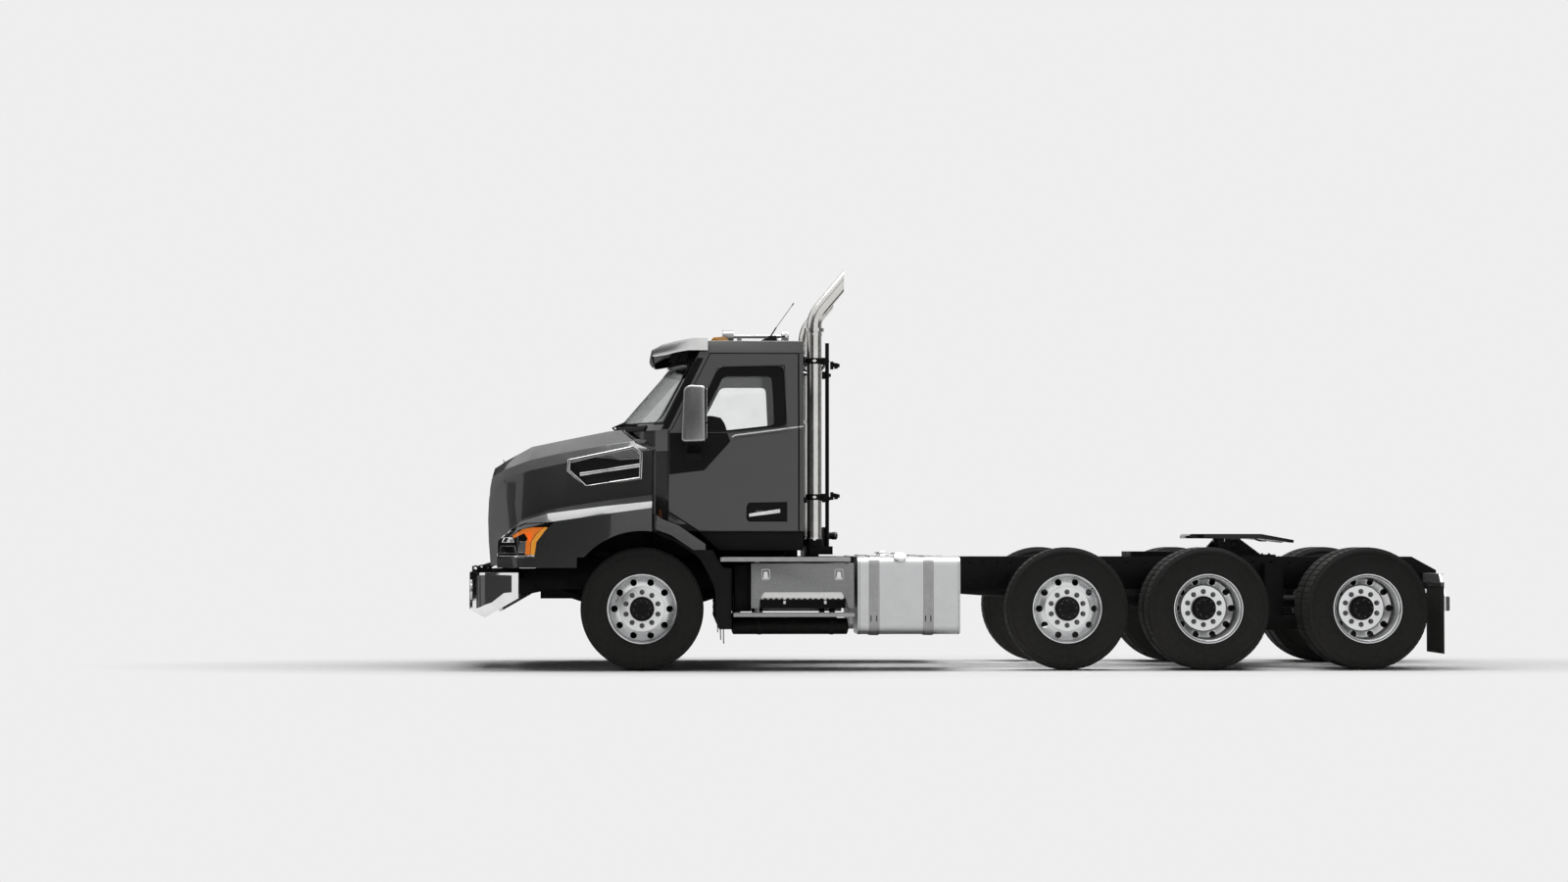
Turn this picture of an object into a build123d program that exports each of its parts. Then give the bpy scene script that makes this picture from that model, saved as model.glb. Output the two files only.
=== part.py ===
from build123d import *

import os
from math import cos, pi, sin

os.makedirs("parts", exist_ok=True)

# Road tractor with four axles, modelled in millimetres from its front axle:
# x runs rearwards along the truck, y to its right, z up from the road.

# ---- driving dimensions -------------------------------------------------
front_overhang = 1508      # bumper face ahead of the front axle
pusher_x = 3631            # lift axle behind the front axle
drive_x = 4836             # first drive axle behind the front axle
tandem = 1369              # between the two drive axles
rear_overhang = 775        # rail ends behind the last axle

tyre_radius = 525
tyre_width = 300
wheel_flats = 24           # sides that a tyre or wheel is turned in
bead_radius = 286
rim_width = 236
rim_wall = 18
disc_wall = 14
hub_radius = 104
hub_reach = 95             # hub cap ahead of the disc of a steer wheel
drive_hub_reach = 150      # hub ahead of the disc of a dual wheel
disc_offset = 100          # steer wheel's disc ahead of the rim's middle
spindle_radius = 46
running_gap = 0.3          # radial gap of a spindle in its hub

steer_y = 1030             # middle of a steer or pusher tyre
kingpin_y = 870
dual_y = 915               # middle of a pair of dual tyres
dual_spacing = 330         # between the middles of two dual tyres

rail_y = 432               # outer face of a frame rail
rail_low = 682
rail_height = 285
rail_flange = 90
rail_plate = 12
rail_slope = 218           # the rails' sloped tail

hood_tail = 84             # hood's rear edge at the sides
panel = 20                 # wall of the hood and its fenders
wall = 60                  # wall of the cab and its doors
shut_gap = 6               # gap round a door
seat_gap = 0.3             # gap between pieces that rest on each other

cab_front = 112
cab_rear = 1381
cab_low = 1188
belt_z = 2050
roof_z = 2826
eaves_z = roof_z - 100
cab_half = 1080            # half width at the floor
cowl_half = 975            # half width of its front corners, beside the hood
belt_half = 1075
eaves_half = 1000
roof_half = 950

tail_x = drive_x + tandem + rear_overhang
front_axle_x = front_overhang - (front_overhang + tail_x) / 2
rail_top = rail_low + rail_height


# ---- shared forms -------------------------------------------------------
def block(x, y, z):
    """Box between the (low, high) pairs of its three directions."""
    middle = [(low + high) / 2 for low, high in (x, y, z)]
    return Pos(*middle) * Box(*[high - low for low, high in (x, y, z)])


def side_cut(points, y, radius=0):
    """Side view outline of (x, z) points, drawn from y[0] to y[1]."""
    outline = Polygon(*points, align=None)
    if radius:
        outline = fillet(outline.vertices(), radius)
    return Pos(0, y[0], 0) * extrude(Plane.XZ * outline, y[1] - y[0], dir=(0, 1, 0))


def front_cut(points, x, radius=0):
    """Front view outline of (y, z) points, drawn from x[0] to x[1]."""
    outline = Polygon(*points, align=None)
    if radius:
        outline = fillet(outline.vertices(), radius)
    return Pos(x[0], 0, 0) * extrude(Plane.YZ * outline, x[1] - x[0], dir=(1, 0, 0))


def plan_cut(points, z):
    """Plan view outline of (x, y) points, drawn from z[0] to z[1]."""
    return Pos(0, 0, z[0]) * extrude(Polygon(*points, align=None), z[1] - z[0], dir=(0, 0, 1))


def bar(start, end, radius):
    """Round bar between two points."""
    run = Vector(*end) - Vector(*start)
    plane = Plane(origin=start, z_dir=run)
    return extrude(plane * Circle(radius), run.length)


def ruled(sections):
    """Straight-sided body through (x, outline of (y, z) points) sections."""
    planes = [Plane(origin=(x, 0, 0), x_dir=(0, 1, 0), z_dir=(1, 0, 0)) for x, _ in sections]
    faces = [plane * Polygon(*outline, align=None) for plane, (_, outline) in zip(planes, sections)]
    return loft(faces, ruled=True)


def turned(profile, flats=wheel_flats):
    """Closed (radius, y) profile turned about the y axis in flats, with one flat at the bottom."""
    corner = 1 / cos(pi / flats)

    def point(step, radius, y):
        turn = -pi / 2 + (step + 0.5) * 2 * pi / flats
        return (radius * corner * cos(turn), y, radius * corner * sin(turn))

    faces = []
    for (r0, y0), (r1, y1) in zip(profile, profile[1:] + profile[:1]):
        for step in range(flats):
            ring = [point(step, r0, y0), point(step + 1, r0, y0), point(step + 1, r1, y1), point(step, r1, y1)]
            ring = ring[:2] * bool(r0) + ring[:1] * (not r0) + ring[2:] * bool(r1) + ring[2:3] * (not r1)
            if len(ring) > 2:
                faces.append(Face(Wire.make_polygon(ring, close=True)))
    return Solid(Shell(faces)).fix()


def pair(shape):
    """A left piece (y below 0) and its mirror image."""
    return [shape, mirror(shape, Plane.XZ)]


def write(node, *shapes):
    """Write one node, moved to the frame whose x is 0 at the truck's middle."""
    solids = [solid for shape in shapes for solid in shape.solids()]
    body = solids[0] if len(solids) == 1 else Compound(solids)
    body = body.moved(Location((front_axle_x, 0, 0)))
    body.label = node
    export_step(body, f"parts/{node}.step")
    print(node, len(solids), round(body.volume / 1e6, 2))


# ---- tyres and wheels ---------------------------------------------------
tread_half = 120
tyre_shoulder = 25
bulge_radius = 420


def tyre():
    half = [
        (bead_radius, rim_width / 2),
        (bulge_radius, tyre_width / 2),
        (tyre_radius - tyre_shoulder, tyre_width / 2 - 12),
        (tyre_radius, tread_half),
    ]
    return turned(half + [(radius, -y) for radius, y in reversed(half)])


rim_inside = bead_radius - rim_wall
bore_radius = spindle_radius + running_gap
drum_radius = 180
hub_depth = 160            # how far a hub reaches back from its disc
cap_wall = 45              # hub cap ahead of the spindle's end


def steer_wheel():
    """Wheel whose disc stands near its outer rim, with the hub and drum behind it."""
    half = rim_width / 2
    face = disc_offset
    return turned([
        (bead_radius, -half), (bead_radius, half), (rim_inside, half), (rim_inside, face - 40),
        (drum_radius, face), (hub_radius, face), (hub_radius, face + hub_reach), (0, face + hub_reach),
        (0, face + hub_reach - cap_wall), (bore_radius, face + hub_reach - cap_wall),
        (bore_radius, face - hub_depth), (drum_radius, face - hub_depth),
        (drum_radius, face - disc_wall), (rim_inside, face - 40 - disc_wall), (rim_inside, -half),
    ])


def dual_wheel():
    """Two dished rims back to back on one hub."""
    inner = dual_spacing / 2 - rim_width / 2
    outer = dual_spacing / 2 + rim_width / 2
    dish = inner + disc_wall
    return turned([
        (bead_radius, outer), (rim_inside, outer), (rim_inside, dish), (hub_radius, disc_wall),
        (hub_radius, drive_hub_reach), (0, drive_hub_reach), (0, drive_hub_reach - cap_wall),
        (bore_radius, drive_hub_reach - cap_wall), (bore_radius, -hub_depth), (drum_radius, -hub_depth),
        (drum_radius, -disc_wall), (rim_inside, -dish), (rim_inside, -outer), (bead_radius, -outer),
        (bead_radius, -inner), (drum_radius, 0), (bead_radius, inner),
    ])


one_tyre = tyre()
half_dual = dual_spacing / 2
dual_tyres = Compound([Pos(0, -half_dual, 0) * one_tyre, Pos(0, half_dual, 0) * one_tyre])

# name, x of the axle, y of the wheel's middle, tyre form, wheel form
axles = [
    ("front", 0, steer_y, one_tyre, steer_wheel()),
    ("pusher", pusher_x, steer_y, one_tyre, steer_wheel()),
    ("drive_1", drive_x, dual_y, dual_tyres, dual_wheel()),
    ("drive_2", drive_x + tandem, dual_y, dual_tyres, dual_wheel()),
]
for name, axle_x, wheel_y, tyre_form, wheel_form in axles:
    for kind, form in (("tyre", tyre_form), ("wheel", wheel_form)):
        right = Pos(axle_x, wheel_y, tyre_radius) * form
        write(f"{kind}_{name}_right", right)
        write(f"{kind}_{name}_left", mirror(right, Plane.XZ))

# ---- steering knuckles, tie rod and front axle --------------------------
pin_radius = 22
eye_radius = 55
eye_half = 70              # half height of the axle's kingpin eye
yoke_gap = 5
yoke_plate = 40
arm_reach = 200            # steering arm's ball behind the kingpin
arm_offset = 70            # and inboard of it
spindle_end = steer_y + disc_offset + hub_reach - cap_wall - 5
web_y = kingpin_y + eye_radius + yoke_gap
web_plate = 25
backing_radius = 150
arm_z = tyre_radius - eye_half - yoke_gap - yoke_plate / 2
ball_radius = 24


def knuckle():
    inside = eye_half + yoke_gap
    outside = inside + yoke_plate
    pin = Pos(0, kingpin_y, tyre_radius) * Cylinder(pin_radius, 2 * outside)
    body = pin + block((-60, 60), (web_y, web_y + web_plate), (tyre_radius - outside, tyre_radius + outside))
    for low, high in ((inside, outside), (-outside, -inside)):
        body += block((-45, 45), (kingpin_y - 45, web_y), (tyre_radius + low, tyre_radius + high))
    body += bar((0, web_y, tyre_radius), (0, spindle_end, tyre_radius), spindle_radius)
    body += bar((0, web_y + 5, tyre_radius), (0, web_y + web_plate, tyre_radius), backing_radius)
    ball = (arm_reach, kingpin_y - arm_offset, arm_z)
    body += bar((30, kingpin_y, arm_z), ball, 16)
    body += Pos(*ball) * Cylinder(12, yoke_plate)
    return body


right_knuckle = knuckle()
write("knuckle_right", right_knuckle)
write("knuckle_left", mirror(right_knuckle, Plane.XZ))

ball_y = kingpin_y - arm_offset
rod_z = arm_z - yoke_plate / 2 - ball_radius
tie_rod = bar((arm_reach, -ball_y, rod_z), (arm_reach, ball_y, rod_z), 18)
for side in (-1, 1):
    tie_rod += Pos(arm_reach, side * ball_y, rod_z) * Cylinder(ball_radius, 2 * ball_radius - seat_gap)
write("tie_rod", tie_rod)

beam_low = 380
beam_deep = 80
spring_y = (350, 430)


def dropped_beam(axle_x, reach, half):
    """Axle beam that dips under the engine or the propeller shaft between its two ends."""
    under = [(reach, 470), (700, 440), (500, beam_low)]
    over = [(480, beam_low + beam_deep), (680, 540), (reach, 580)]
    chain = [(-y, z) for y, z in under] + under[::-1] + over[::-1] + [(-y, z) for y, z in over]
    return front_cut(chain, (axle_x - half, axle_x + half))


front_beam = dropped_beam(0, kingpin_y - 30, 50)
spring = side_cut([
    (-740, 640), (-400, 530), (-60, beam_low + beam_deep), (60, beam_low + beam_deep), (400, 530), (740, 640),
    (740, rail_low), (400, 570), (60, 530), (-60, 530), (-400, 570), (-740, rail_low),
], (-spring_y[1], -spring_y[0]))
front_axle = front_beam + pair(spring)
for side in (-1, 1):
    eye = Pos(0, side * kingpin_y, tyre_radius)
    front_axle += eye * Cylinder(eye_radius, 2 * eye_half)
    front_axle -= eye * Cylinder(pin_radius + running_gap, 2 * eye_half)
write("front_axle", front_axle)

# ---- frame --------------------------------------------------------------
horn_low = 640             # the rails' lower front ends
horn_top = 860
bumper_wall = 60
horn_x = -front_overhang + bumper_wall
rail_outline = [
    (horn_x, horn_low), (-1000, horn_low), (-800, rail_low), (tail_x, rail_low),
    (tail_x, rail_top - 119), (tail_x - rail_slope, rail_top), (-750, rail_top), (-950, horn_top), (horn_x, horn_top),
]
rail_face = Plane.XZ * Polygon(*rail_outline, align=None)
rail_pocket = offset(rail_face, -rail_plate)
rail = Pos(0, -rail_y, 0) * extrude(rail_face, rail_flange, dir=(0, 1, 0))
rail -= Pos(0, -rail_y + rail_plate, 0) * extrude(rail_pocket, rail_flange, dir=(0, 1, 0))
tow_eye = side_cut([
    (horn_x + 45, horn_top - 19), (horn_x + 45, horn_top + 12), (horn_x - 10, horn_top + 33), (horn_x - 42, horn_top + 25),
    (horn_x - 42, horn_top - 19),
], (-rail_y, -rail_y + 34))
tow_eye -= bar((horn_x - 15, -rail_y - 1, horn_top + 5), (horn_x - 15, -rail_y + 35, horn_top + 5), 14)
write("frame_rails", *pair(rail + tow_eye))

web_inside = rail_y - rail_plate
hood_pivot = (-1385, 882)
pivot_radius = 12
ear_y = (290, 312)
# x of each crossmember's front face, its low and high z
member_rows = [(x, rail_top - 115, rail_top - 20) for x in (1750, 2800, 3250, 4200, 5480)]
member_rows.append((tail_x - 150, rail_low + 20, rail_top - 110))
members = [block((x, x + 70), (-web_inside, web_inside), (low, high)) for x, low, high in member_rows]
front_member = block((horn_x + 15, horn_x + 95), (-web_inside, web_inside), (horn_low + 20, horn_top - 20))
hinge_shaft = bar((hood_pivot[0], -rail_y, hood_pivot[1]), (hood_pivot[0], rail_y, hood_pivot[1]), pivot_radius)
for side in (-1, 1):
    y = sorted((side * rail_y, side * (rail_y - 30)))
    hinge_shaft += block((hood_pivot[0] - 15, hood_pivot[0] + 15), y, (horn_top, hood_pivot[1]))
write("crossmembers", front_member, hinge_shaft, *members)

# ---- bumper -------------------------------------------------------------
bumper_low = 457
bumper_top = 835
bumper_half = 1200
# plan view of the bumper's outer face: x, y
bumper_rear = -1048
bumper_plan = [
    (-front_overhang, 0.4 * bumper_half), (-1450, bumper_half - 240), (-1380, bumper_half - 50),
    (-1330, bumper_half), (bumper_rear, bumper_half),
]
bumper_inner = [
    (bumper_rear, bumper_half - 45), (-1310, bumper_half - 50), (-1340, bumper_half - 90),
    (horn_x + 45, bumper_half - 280), (horn_x, 0.4 * bumper_half - 20),
]
left_side = [(x, -y) for x, y in reversed(bumper_plan + bumper_inner)]
bumper = plan_cut(bumper_plan + bumper_inner + left_side, (bumper_low, bumper_top))
bumper &= side_cut([
    (-front_overhang - 1, bumper_top), (bumper_rear, bumper_top), (bumper_rear, 617), (-1329, bumper_low),
    (-1430, bumper_low + 40), (-front_overhang - 1, bumper_low + 60),
], (-bumper_half, bumper_half))
pocket_z = (575, 770)
pocket_depth = 30
intake_half = 400
for side in (-1, 1):
    lamp_y = sorted((side * (bumper_half - 650), side * (bumper_half - 330)))
    bumper -= block((-front_overhang - 1, -front_overhang + 20 + pocket_depth), lamp_y, pocket_z)
bumper -= block((-front_overhang - 1, -front_overhang + pocket_depth), (-intake_half, intake_half), (600, 745))
write("front_bumper", bumper)

# ---- engine and radiator ------------------------------------------------
engine = block((-900, hood_tail), (-300, 300), (600, 1650))
engine += block((-420, -300), (-web_inside, web_inside), (rail_top, rail_top + 40))
engine += block((hood_tail, 1250), (-210, 210), (620, 1050))
engine += block((-1125, -900), (-250, 250), (1000, 1450))
engine += block((-1225, -1125), (-470, 470), (horn_top, 1620))
write("engine", engine)

# ---- pusher axle, drive axles and their suspension ----------------------
drive_end = dual_y + drive_hub_reach - cap_wall - 5
tube_end = dual_y - hub_depth - 25
bag_radius = 95
bag_y = 485


def axle(axle_x, tube_radius, tube_reach, spindle_reach):
    body = bar((axle_x, -tube_reach, tyre_radius), (axle_x, tube_reach, tyre_radius), tube_radius)
    return body + bar((axle_x, -spindle_reach, tyre_radius), (axle_x, spindle_reach, tyre_radius), spindle_radius)


def air_bag(x, y, low):
    return bar((x, y, low), (x, y, rail_low), bag_radius)


pusher_end = steer_y + disc_offset - hub_depth - 25
pusher = dropped_beam(pusher_x, pusher_end, 55)
for side in (-1, 1):
    pusher += block((pusher_x - 100, pusher_x + 100), sorted((side * 380, side * 570)), (460, 490))
    pusher += air_bag(pusher_x, side * bag_y, 480)
    pusher += bar((pusher_x, side * (pusher_end - 60), tyre_radius), (pusher_x, side * spindle_end, tyre_radius),
                  spindle_radius)
write("pusher_axle", pusher)

housing_radius = 75
diff_radius = 215
drive_axles = []
for axle_x in (drive_x, drive_x + tandem):
    body = axle(axle_x, housing_radius, tube_end, drive_end)
    body += Pos(axle_x, 0, tyre_radius) * Sphere(diff_radius)
    body += bar((axle_x - 360, 0, tyre_radius + 40), (axle_x, 0, tyre_radius + 40), 80)
    drive_axles.append(body)
drive_axles[0] += bar((1255, 0, 800), (drive_x - 300, 0, tyre_radius + 40), 55)
drive_axles[0] += bar((drive_x, 0, tyre_radius + 40), (drive_x + tandem - 361, 0, tyre_radius + 40), 55)
write("drive_axles", drive_axles[0] + drive_axles[1])

beam_top = tyre_radius - housing_radius
middle_x = drive_x + tandem / 2
suspension = []
for side in (-1, 1):
    inner, outer = rail_y, 570
    lane = sorted((side * 440, side * outer))
    beam = side_cut([
        (drive_x - 130, beam_top), (drive_x - 130, beam_top - 50), (middle_x - 120, beam_top - 120),
        (middle_x + 120, beam_top - 120), (drive_x + tandem + 430, beam_top - 50),
        (drive_x + tandem + 430, beam_top),
    ], lane)
    beam += block((middle_x - 80, middle_x + 80), sorted((side * inner, side * outer)), (beam_top - 60, rail_top - 60))
    for x in (drive_x - 290 + 520, drive_x + tandem + 300):
        beam += air_bag(x, side * bag_y, beam_top - 20)
    suspension.append(beam)
write("drive_suspension", *suspension)

# ---- cab ----------------------------------------------------------------
# Plan of the cab at each height: z, windshield's middle x, its corner x, half width
cab_stages = [
    (belt_z, -272, 157, belt_half),
    (eaves_z, 290, 488, eaves_half),
    (roof_z, 420, 560, roof_half),
]

# ---- the hood's outer form and the seam behind it ------------------------
door_front = 223
door_rear = 1334
cowl_gap = 30

# x, then height and half width of the top, the shoulder, the hip and the lower edge
hood_sections = [
    (-1360, 1700, 320, 1638, 456, 1552, 474, 890, 524),
    (-1186, 1810, 380, 1730, 590, 1640, 620, 890, 690),
    (-969, 1926, 440, 1805, 675, 1715, 715, 900, 790),
    (-678, 1984, 500, 1868, 745, 1775, 795, 1120, 860),
    (-300, 2057, 580, 1935, 805, 1840, 870, 1260, 920),
    (hood_tail, 2092, 640, 1988, 850, 1884, 940, cab_low, 962),
    (door_front, 2100, 660, 2000, 930, 1890, 1040, cab_low, 1076),
]
# side view of the nose, from its top to its lower edge
nose_profile = [(-1250, 1900), (-1298, 1745), (-1330, 1560), (-1343, 1300), (-1336, 1090), (-1316, 850)]


def hood_volume(inset):
    sections = []
    for x, top, top_half, shoulder, shoulder_half, hip, hip_half, low, low_half in hood_sections:
        half = [
            (low_half - inset, low - inset), (hip_half - inset, hip - inset / 2),
            (shoulder_half - inset, shoulder - inset), (top_half - inset / 2, top - inset),
        ]
        sections.append((x, half + [(-y, z) for y, z in reversed(half)]))
    nose = [(x + inset, z) for x, z in nose_profile]
    return ruled(sections) & side_cut([(400, 800), (400, 2300), (nose[0][0], 2300), *nose, (nose[-1][0], 800)], (-1300, 1300))


def behind_seam(gap):
    """Everything behind the seam between hood and cab, moved rearwards by a gap."""
    middle = cab_stages[0][1] - cowl_gap
    front = ThreePointArc((-62, 850), (middle, 0), (-62, -850))
    left = Polyline((-62, -850), (hood_tail, -940), (hood_tail, -1300), (cab_rear, -1300), (cab_rear, 1300))
    right = Polyline((cab_rear, 1300), (hood_tail, 1300), (hood_tail, 940), (-62, 850))
    return Pos(gap, 0, 0) * extrude(make_face(front + left + right), 3000)



# ---- cab: its windows, doors and walls -----------------------------------
glass_low = belt_z + 60
glass_top = eaves_z - 106
windshield = [(-985, glass_low), (985, glass_low), (925, glass_top), (-925, glass_top)]
rear_window = [(-480, glass_low), (480, glass_low), (480, glass_top - 20), (-480, glass_top - 20)]
door_top = eaves_z - 16
door_outline = [
    (door_front, 1355), (door_front, belt_z - 20), (door_front + 35, belt_z + 15), (580, door_top),
    (door_rear, door_top), (door_rear, cab_low), (485, cab_low),
]
window_outline = [
    (385, belt_z - 20), (650, door_top - 110), (1215, door_top - 98), (1240, belt_z + 30), (730, belt_z - 20),
]
glass_depth = 24           # glass behind the outer skin
glass_wall = 6


def stage(z, middle_x, corner_x, half, side, ends):
    corner = (corner_x + ends, half - side)
    front = ThreePointArc(corner, (middle_x + ends, 0), (corner[0], -corner[1]))
    back = cab_rear - ends
    rest = Polyline((corner[0], -corner[1]), (back, -corner[1]), (back, corner[1]), corner)
    return Pos(0, 0, z) * make_face(front + rest)


def cab_volume(side, ends):
    """The cab's outer form with its sides moved in by one value and its other faces by another."""
    faces = []
    for low, half in ((cab_low + ends, cab_half), (belt_z + ends, belt_half)):
        corner = (cab_front + ends, cowl_half - side)
        shoulder = (door_front, half - side)
        plan = [corner, shoulder, (cab_rear - ends, half - side)]
        faces.append(Pos(0, 0, low) * Polygon(*plan, *[(x, -y) for x, y in reversed(plan)], align=None))
    lower = loft(faces, ruled=True)
    lifts = (ends, 0, -ends)
    faces = [stage(z + lift, *rest, side, ends) for (z, *rest), lift in zip(cab_stages, lifts)]
    return lower + loft(faces, ruled=True)


def moved_in(outline, gap):
    """Outline of (x, z) points moved inwards by a gap."""
    return offset(Polygon(*outline, align=None), -gap, kind=Kind.INTERSECTION)


def side_prism(outline, gap, y):
    return Pos(0, y[0], 0) * extrude(Plane.XZ * moved_in(outline, gap), y[1] - y[0], dir=(0, 1, 0))


cowl_x = (-400, door_front - shut_gap)
cowl_room = block(cowl_x, (-1300, 1300), (cab_low, belt_z))
outside = cab_volume(0, 0) - (cowl_room - hood_volume(0))
cowl = (hood_volume(0) - hood_volume(panel)) & behind_seam(cowl_gap) & cowl_room
cab_shell = outside + cowl - cab_volume(wall, wall)
door_walls = outside - cab_volume(wall, 0)
glass_sheet = cab_volume(glass_depth, glass_depth) - cab_volume(glass_depth + glass_wall, glass_depth + glass_wall)
left_lane = (-1300, -700)
right_lane = (700, 1300)

cab_shell -= front_cut(windshield, (-400, 900), 60)
cab_shell -= front_cut(rear_window, (cab_rear - 200, cab_rear + 1), 60)
for lane in (left_lane, right_lane):
    cab_shell -= door_walls & side_prism(door_outline, -shut_gap, lane)

# joints between the cab's panels in side view
roof_seam = eaves_z - 10
back_seam = cab_rear - wall
floor_seam = cab_low + wall
roof_panel = cab_shell & block((-400, cab_rear + 1), (-1200, 1200), (roof_seam, roof_z + 1))
back_panel = cab_shell & block((back_seam, cab_rear + 1), (-1200, 1200), (cab_low - 1, roof_seam - seat_gap))
rest = cab_shell & block((-400, back_seam - seat_gap), (-1200, 1200), (cab_low - 1, roof_seam - seat_gap))
floor_panel = rest & block((-400, back_seam), (-1200, 1200), (cab_low - 1, floor_seam))
front_panel = rest & block((-400, back_seam), (-1200, 1200), (floor_seam + seat_gap, roof_seam))
bulkhead_x = hood_tail + shut_gap
bulkhead = hood_volume(panel + shut_gap) & block((bulkhead_x, cab_front + 10), (-900, 900), (1340, 2000))
bulkhead += block((bulkhead_x, cab_front - seat_gap), (-700, 700), (cab_low, 1345))
front_panel += bulkhead

rocker_low = 1023
for side in (-1, 1):
    floor_panel += side_cut([(480, cab_low), (cab_rear - 5, cab_low), (cab_rear - 5, rocker_low), (660, rocker_low)],
                            sorted((side * 990, side * 1050)))
    floor_panel += block((240, cab_rear - 5), sorted((side * 330, side * 420)), (cab_low - 90, cab_low))
    for x in (320, 1270):
        floor_panel += block((x, x + 80), sorted((side * 345, side * 425)), (rail_top, cab_low - 90))
write("cab_floor", floor_panel)
write("cab_front", front_panel)
write("cab_back", back_panel)
write("cab_roof", roof_panel)

windshield_glass = glass_sheet & front_cut(windshield, (-400, 900), 60)
rear_glass = glass_sheet & front_cut(rear_window, (cab_rear - 200, cab_rear + 1), 60)
write("cab_glass", windshield_glass, rear_glass)

dash_half = cowl_half - wall - 5
dashboard = side_cut([
    (cab_front + wall, 1700), (cab_front + wall, 2040), (300, 2070), (430, 2010), (470, 1880), (400, 1700),
], (-dash_half, dash_half))
column_start = (430, -450, 1850)
column_end = (600, -450, 1990)
dashboard += bar(column_start, column_end, 38)
steering_plane = Plane(origin=column_end, z_dir=Vector(*column_end) - Vector(*column_start))
dashboard += steering_plane * Torus(215, 16)
dashboard += steering_plane * Box(60, 420, 20)
dashboard += steering_plane * Box(420, 60, 20)
write("dashboard", dashboard)

seats = []
for side in (-1, 1):
    lane = sorted((side * 220, side * 680))
    seat = side_cut([(820, floor_seam), (760, 1600), (780, 1690), (1160, 1670), (1220, 1560), (1200, floor_seam)], lane)
    seat += side_cut([(1110, 1600), (1180, 2050), (1300, 2050), (1315, 2000), (1230, 1560)], lane)
    seats.append(seat)
write("seats", *seats)

# ---- doors --------------------------------------------------------------
handle_pocket = [(891, 1290), (891, 1400), (910, 1430), (1239, 1436), (1239, 1270), (911, 1270)]
handle_bar = [(908, 1310), (908, 1335), (1180, 1377), (1180, 1345)]
mirror_outline = [(334, 1960), (350, 2400), (400, 2426), (535, 2420), (541, 1950), (520, 1939), (350, 1939)]
mirror_y = (-1430, -1250)


def door():
    body = door_walls & side_prism(door_outline, 0, left_lane)
    body -= side_prism(window_outline, 0, left_lane)
    body -= side_prism(handle_pocket, 0, (-1300, -cab_half + 22))
    body += side_prism(handle_bar, 0, (-cab_half + 2, -cab_half + 22))
    return body


left_door = door()
left_glass = glass_sheet & side_prism(window_outline, seat_gap, left_lane)
mirror_body = side_cut(mirror_outline, mirror_y, 22)
arm = side_cut([(400, 1860), (400, 2010), (480, 2010), (480, 1860)], (-1290, -belt_half))
mirror_body += arm & block((0, 900), (-1300, -belt_half - 1), (1800, 2100))
mirror_body -= cab_volume(-seat_gap, 0)
for side, flip in (("left", False), ("right", True)):
    for node, form in (("door", left_door), ("door_glass", left_glass), ("mirror", mirror_body)):
        write(f"{node}_{side}", mirror(form, Plane.XZ) if flip else form)

# ---- sun visor, roof lights and horns ------------------------------------
visor_half = 1015
visor_wall = 12
visor_front = 50           # its foremost point, at the middle of the truck
visor_corner = 84          # its front edge at the sides
visor_top = roof_z + 20
visor_side = [
    (visor_front, roof_z - 138), (visor_front + 24, roof_z - 88), (172, roof_z - 36), (307, roof_z - 2), (430, visor_top),
    (560, visor_top), (560, roof_z - 86), (391, roof_z - 86), (290, roof_z - 104), (205, roof_z - 126), (110, roof_z - 142),
]
visor_hollow = [
    (visor_front + visor_wall, roof_z - 200), (visor_front + 37, roof_z - 94), (179, roof_z - 48), (311, roof_z - 15),
    (405, roof_z + seat_gap), (600, roof_z + seat_gap), (600, roof_z - 200),
]
visor = side_cut(visor_side, (-visor_half, visor_half))
visor -= side_cut(visor_hollow, (visor_wall - visor_half, visor_half - visor_wall))
visor_edge = ThreePointArc((visor_corner, visor_half), (visor_front, 0), (visor_corner, -visor_half))
visor_edge += Polyline((visor_corner, -visor_half), (700, -visor_half), (700, visor_half), (visor_corner, visor_half))
visor &= Pos(0, 0, roof_z - 300) * extrude(make_face(visor_edge), 400)
write("sun_visor", visor)

lamp_rows = [(-700, 60), (-230, 60), (0, 60), (230, 60), (700, 60)]     # y of the lamp, half width
roof_lights = [
    side_cut([(575, roof_z), (610, roof_z + 42), (700, roof_z + 48), (760, roof_z)], (y - half, y + half))
    for y, half in lamp_rows
]
write("roof_lights", *roof_lights)

horns = []
for y in (-420, 420):
    low = roof_z + 70
    horn = bar((700, y, low), (790, y, low), 52) + bar((790, y, low), (1210, y, low), 16)
    horn += bar((1210, y, low), (1270, y, low), 45)
    horn += block((820, 860), (y - 12, y + 12), (roof_z, low)) + block((1225, 1255), (y - 12, y + 12), (roof_z, low))
    horns.append(horn)
write("air_horns", *horns)

# ---- exhaust stacks and the frame behind the cab -------------------------
stack_x = 1475
stack_y = 950
stack_radius = 63.5
stack_bore = 60
stack_low = 1058
stack_bend_z = 2947        # where the pipe leaves the vertical
stack_bend = 250           # radius of that bend
stack_cut_x = 1729
post_x = 1593
post_y = 800
post_radius = 17
rack_low = rail_top
rack_top = 2815


def stack_sweep(y, radius, low):
    corner = (stack_x, y, stack_bend_z + 91)
    tip = (stack_x + 400, y, corner[2] + 477)
    path = FilletPolyline((stack_x, y, low), corner, tip, radius=stack_bend)
    return sweep(Plane(origin=(stack_x, y, low)) * Circle(radius), path=path)


stacks = []
for y in (-stack_y, stack_y):
    stack = stack_sweep(y, stack_radius, stack_low) - stack_sweep(y, stack_bore, 2700)
    stack += Pos(stack_x, y, 2918) * (Cylinder(84, 30) - Cylinder(stack_bore + 1, 30))
    stack -= block((stack_cut_x, stack_cut_x + 600), (y - 200, y + 200), (2900, 4000))
    stacks.append(stack)
write("exhaust_stacks", *stacks)

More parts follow.
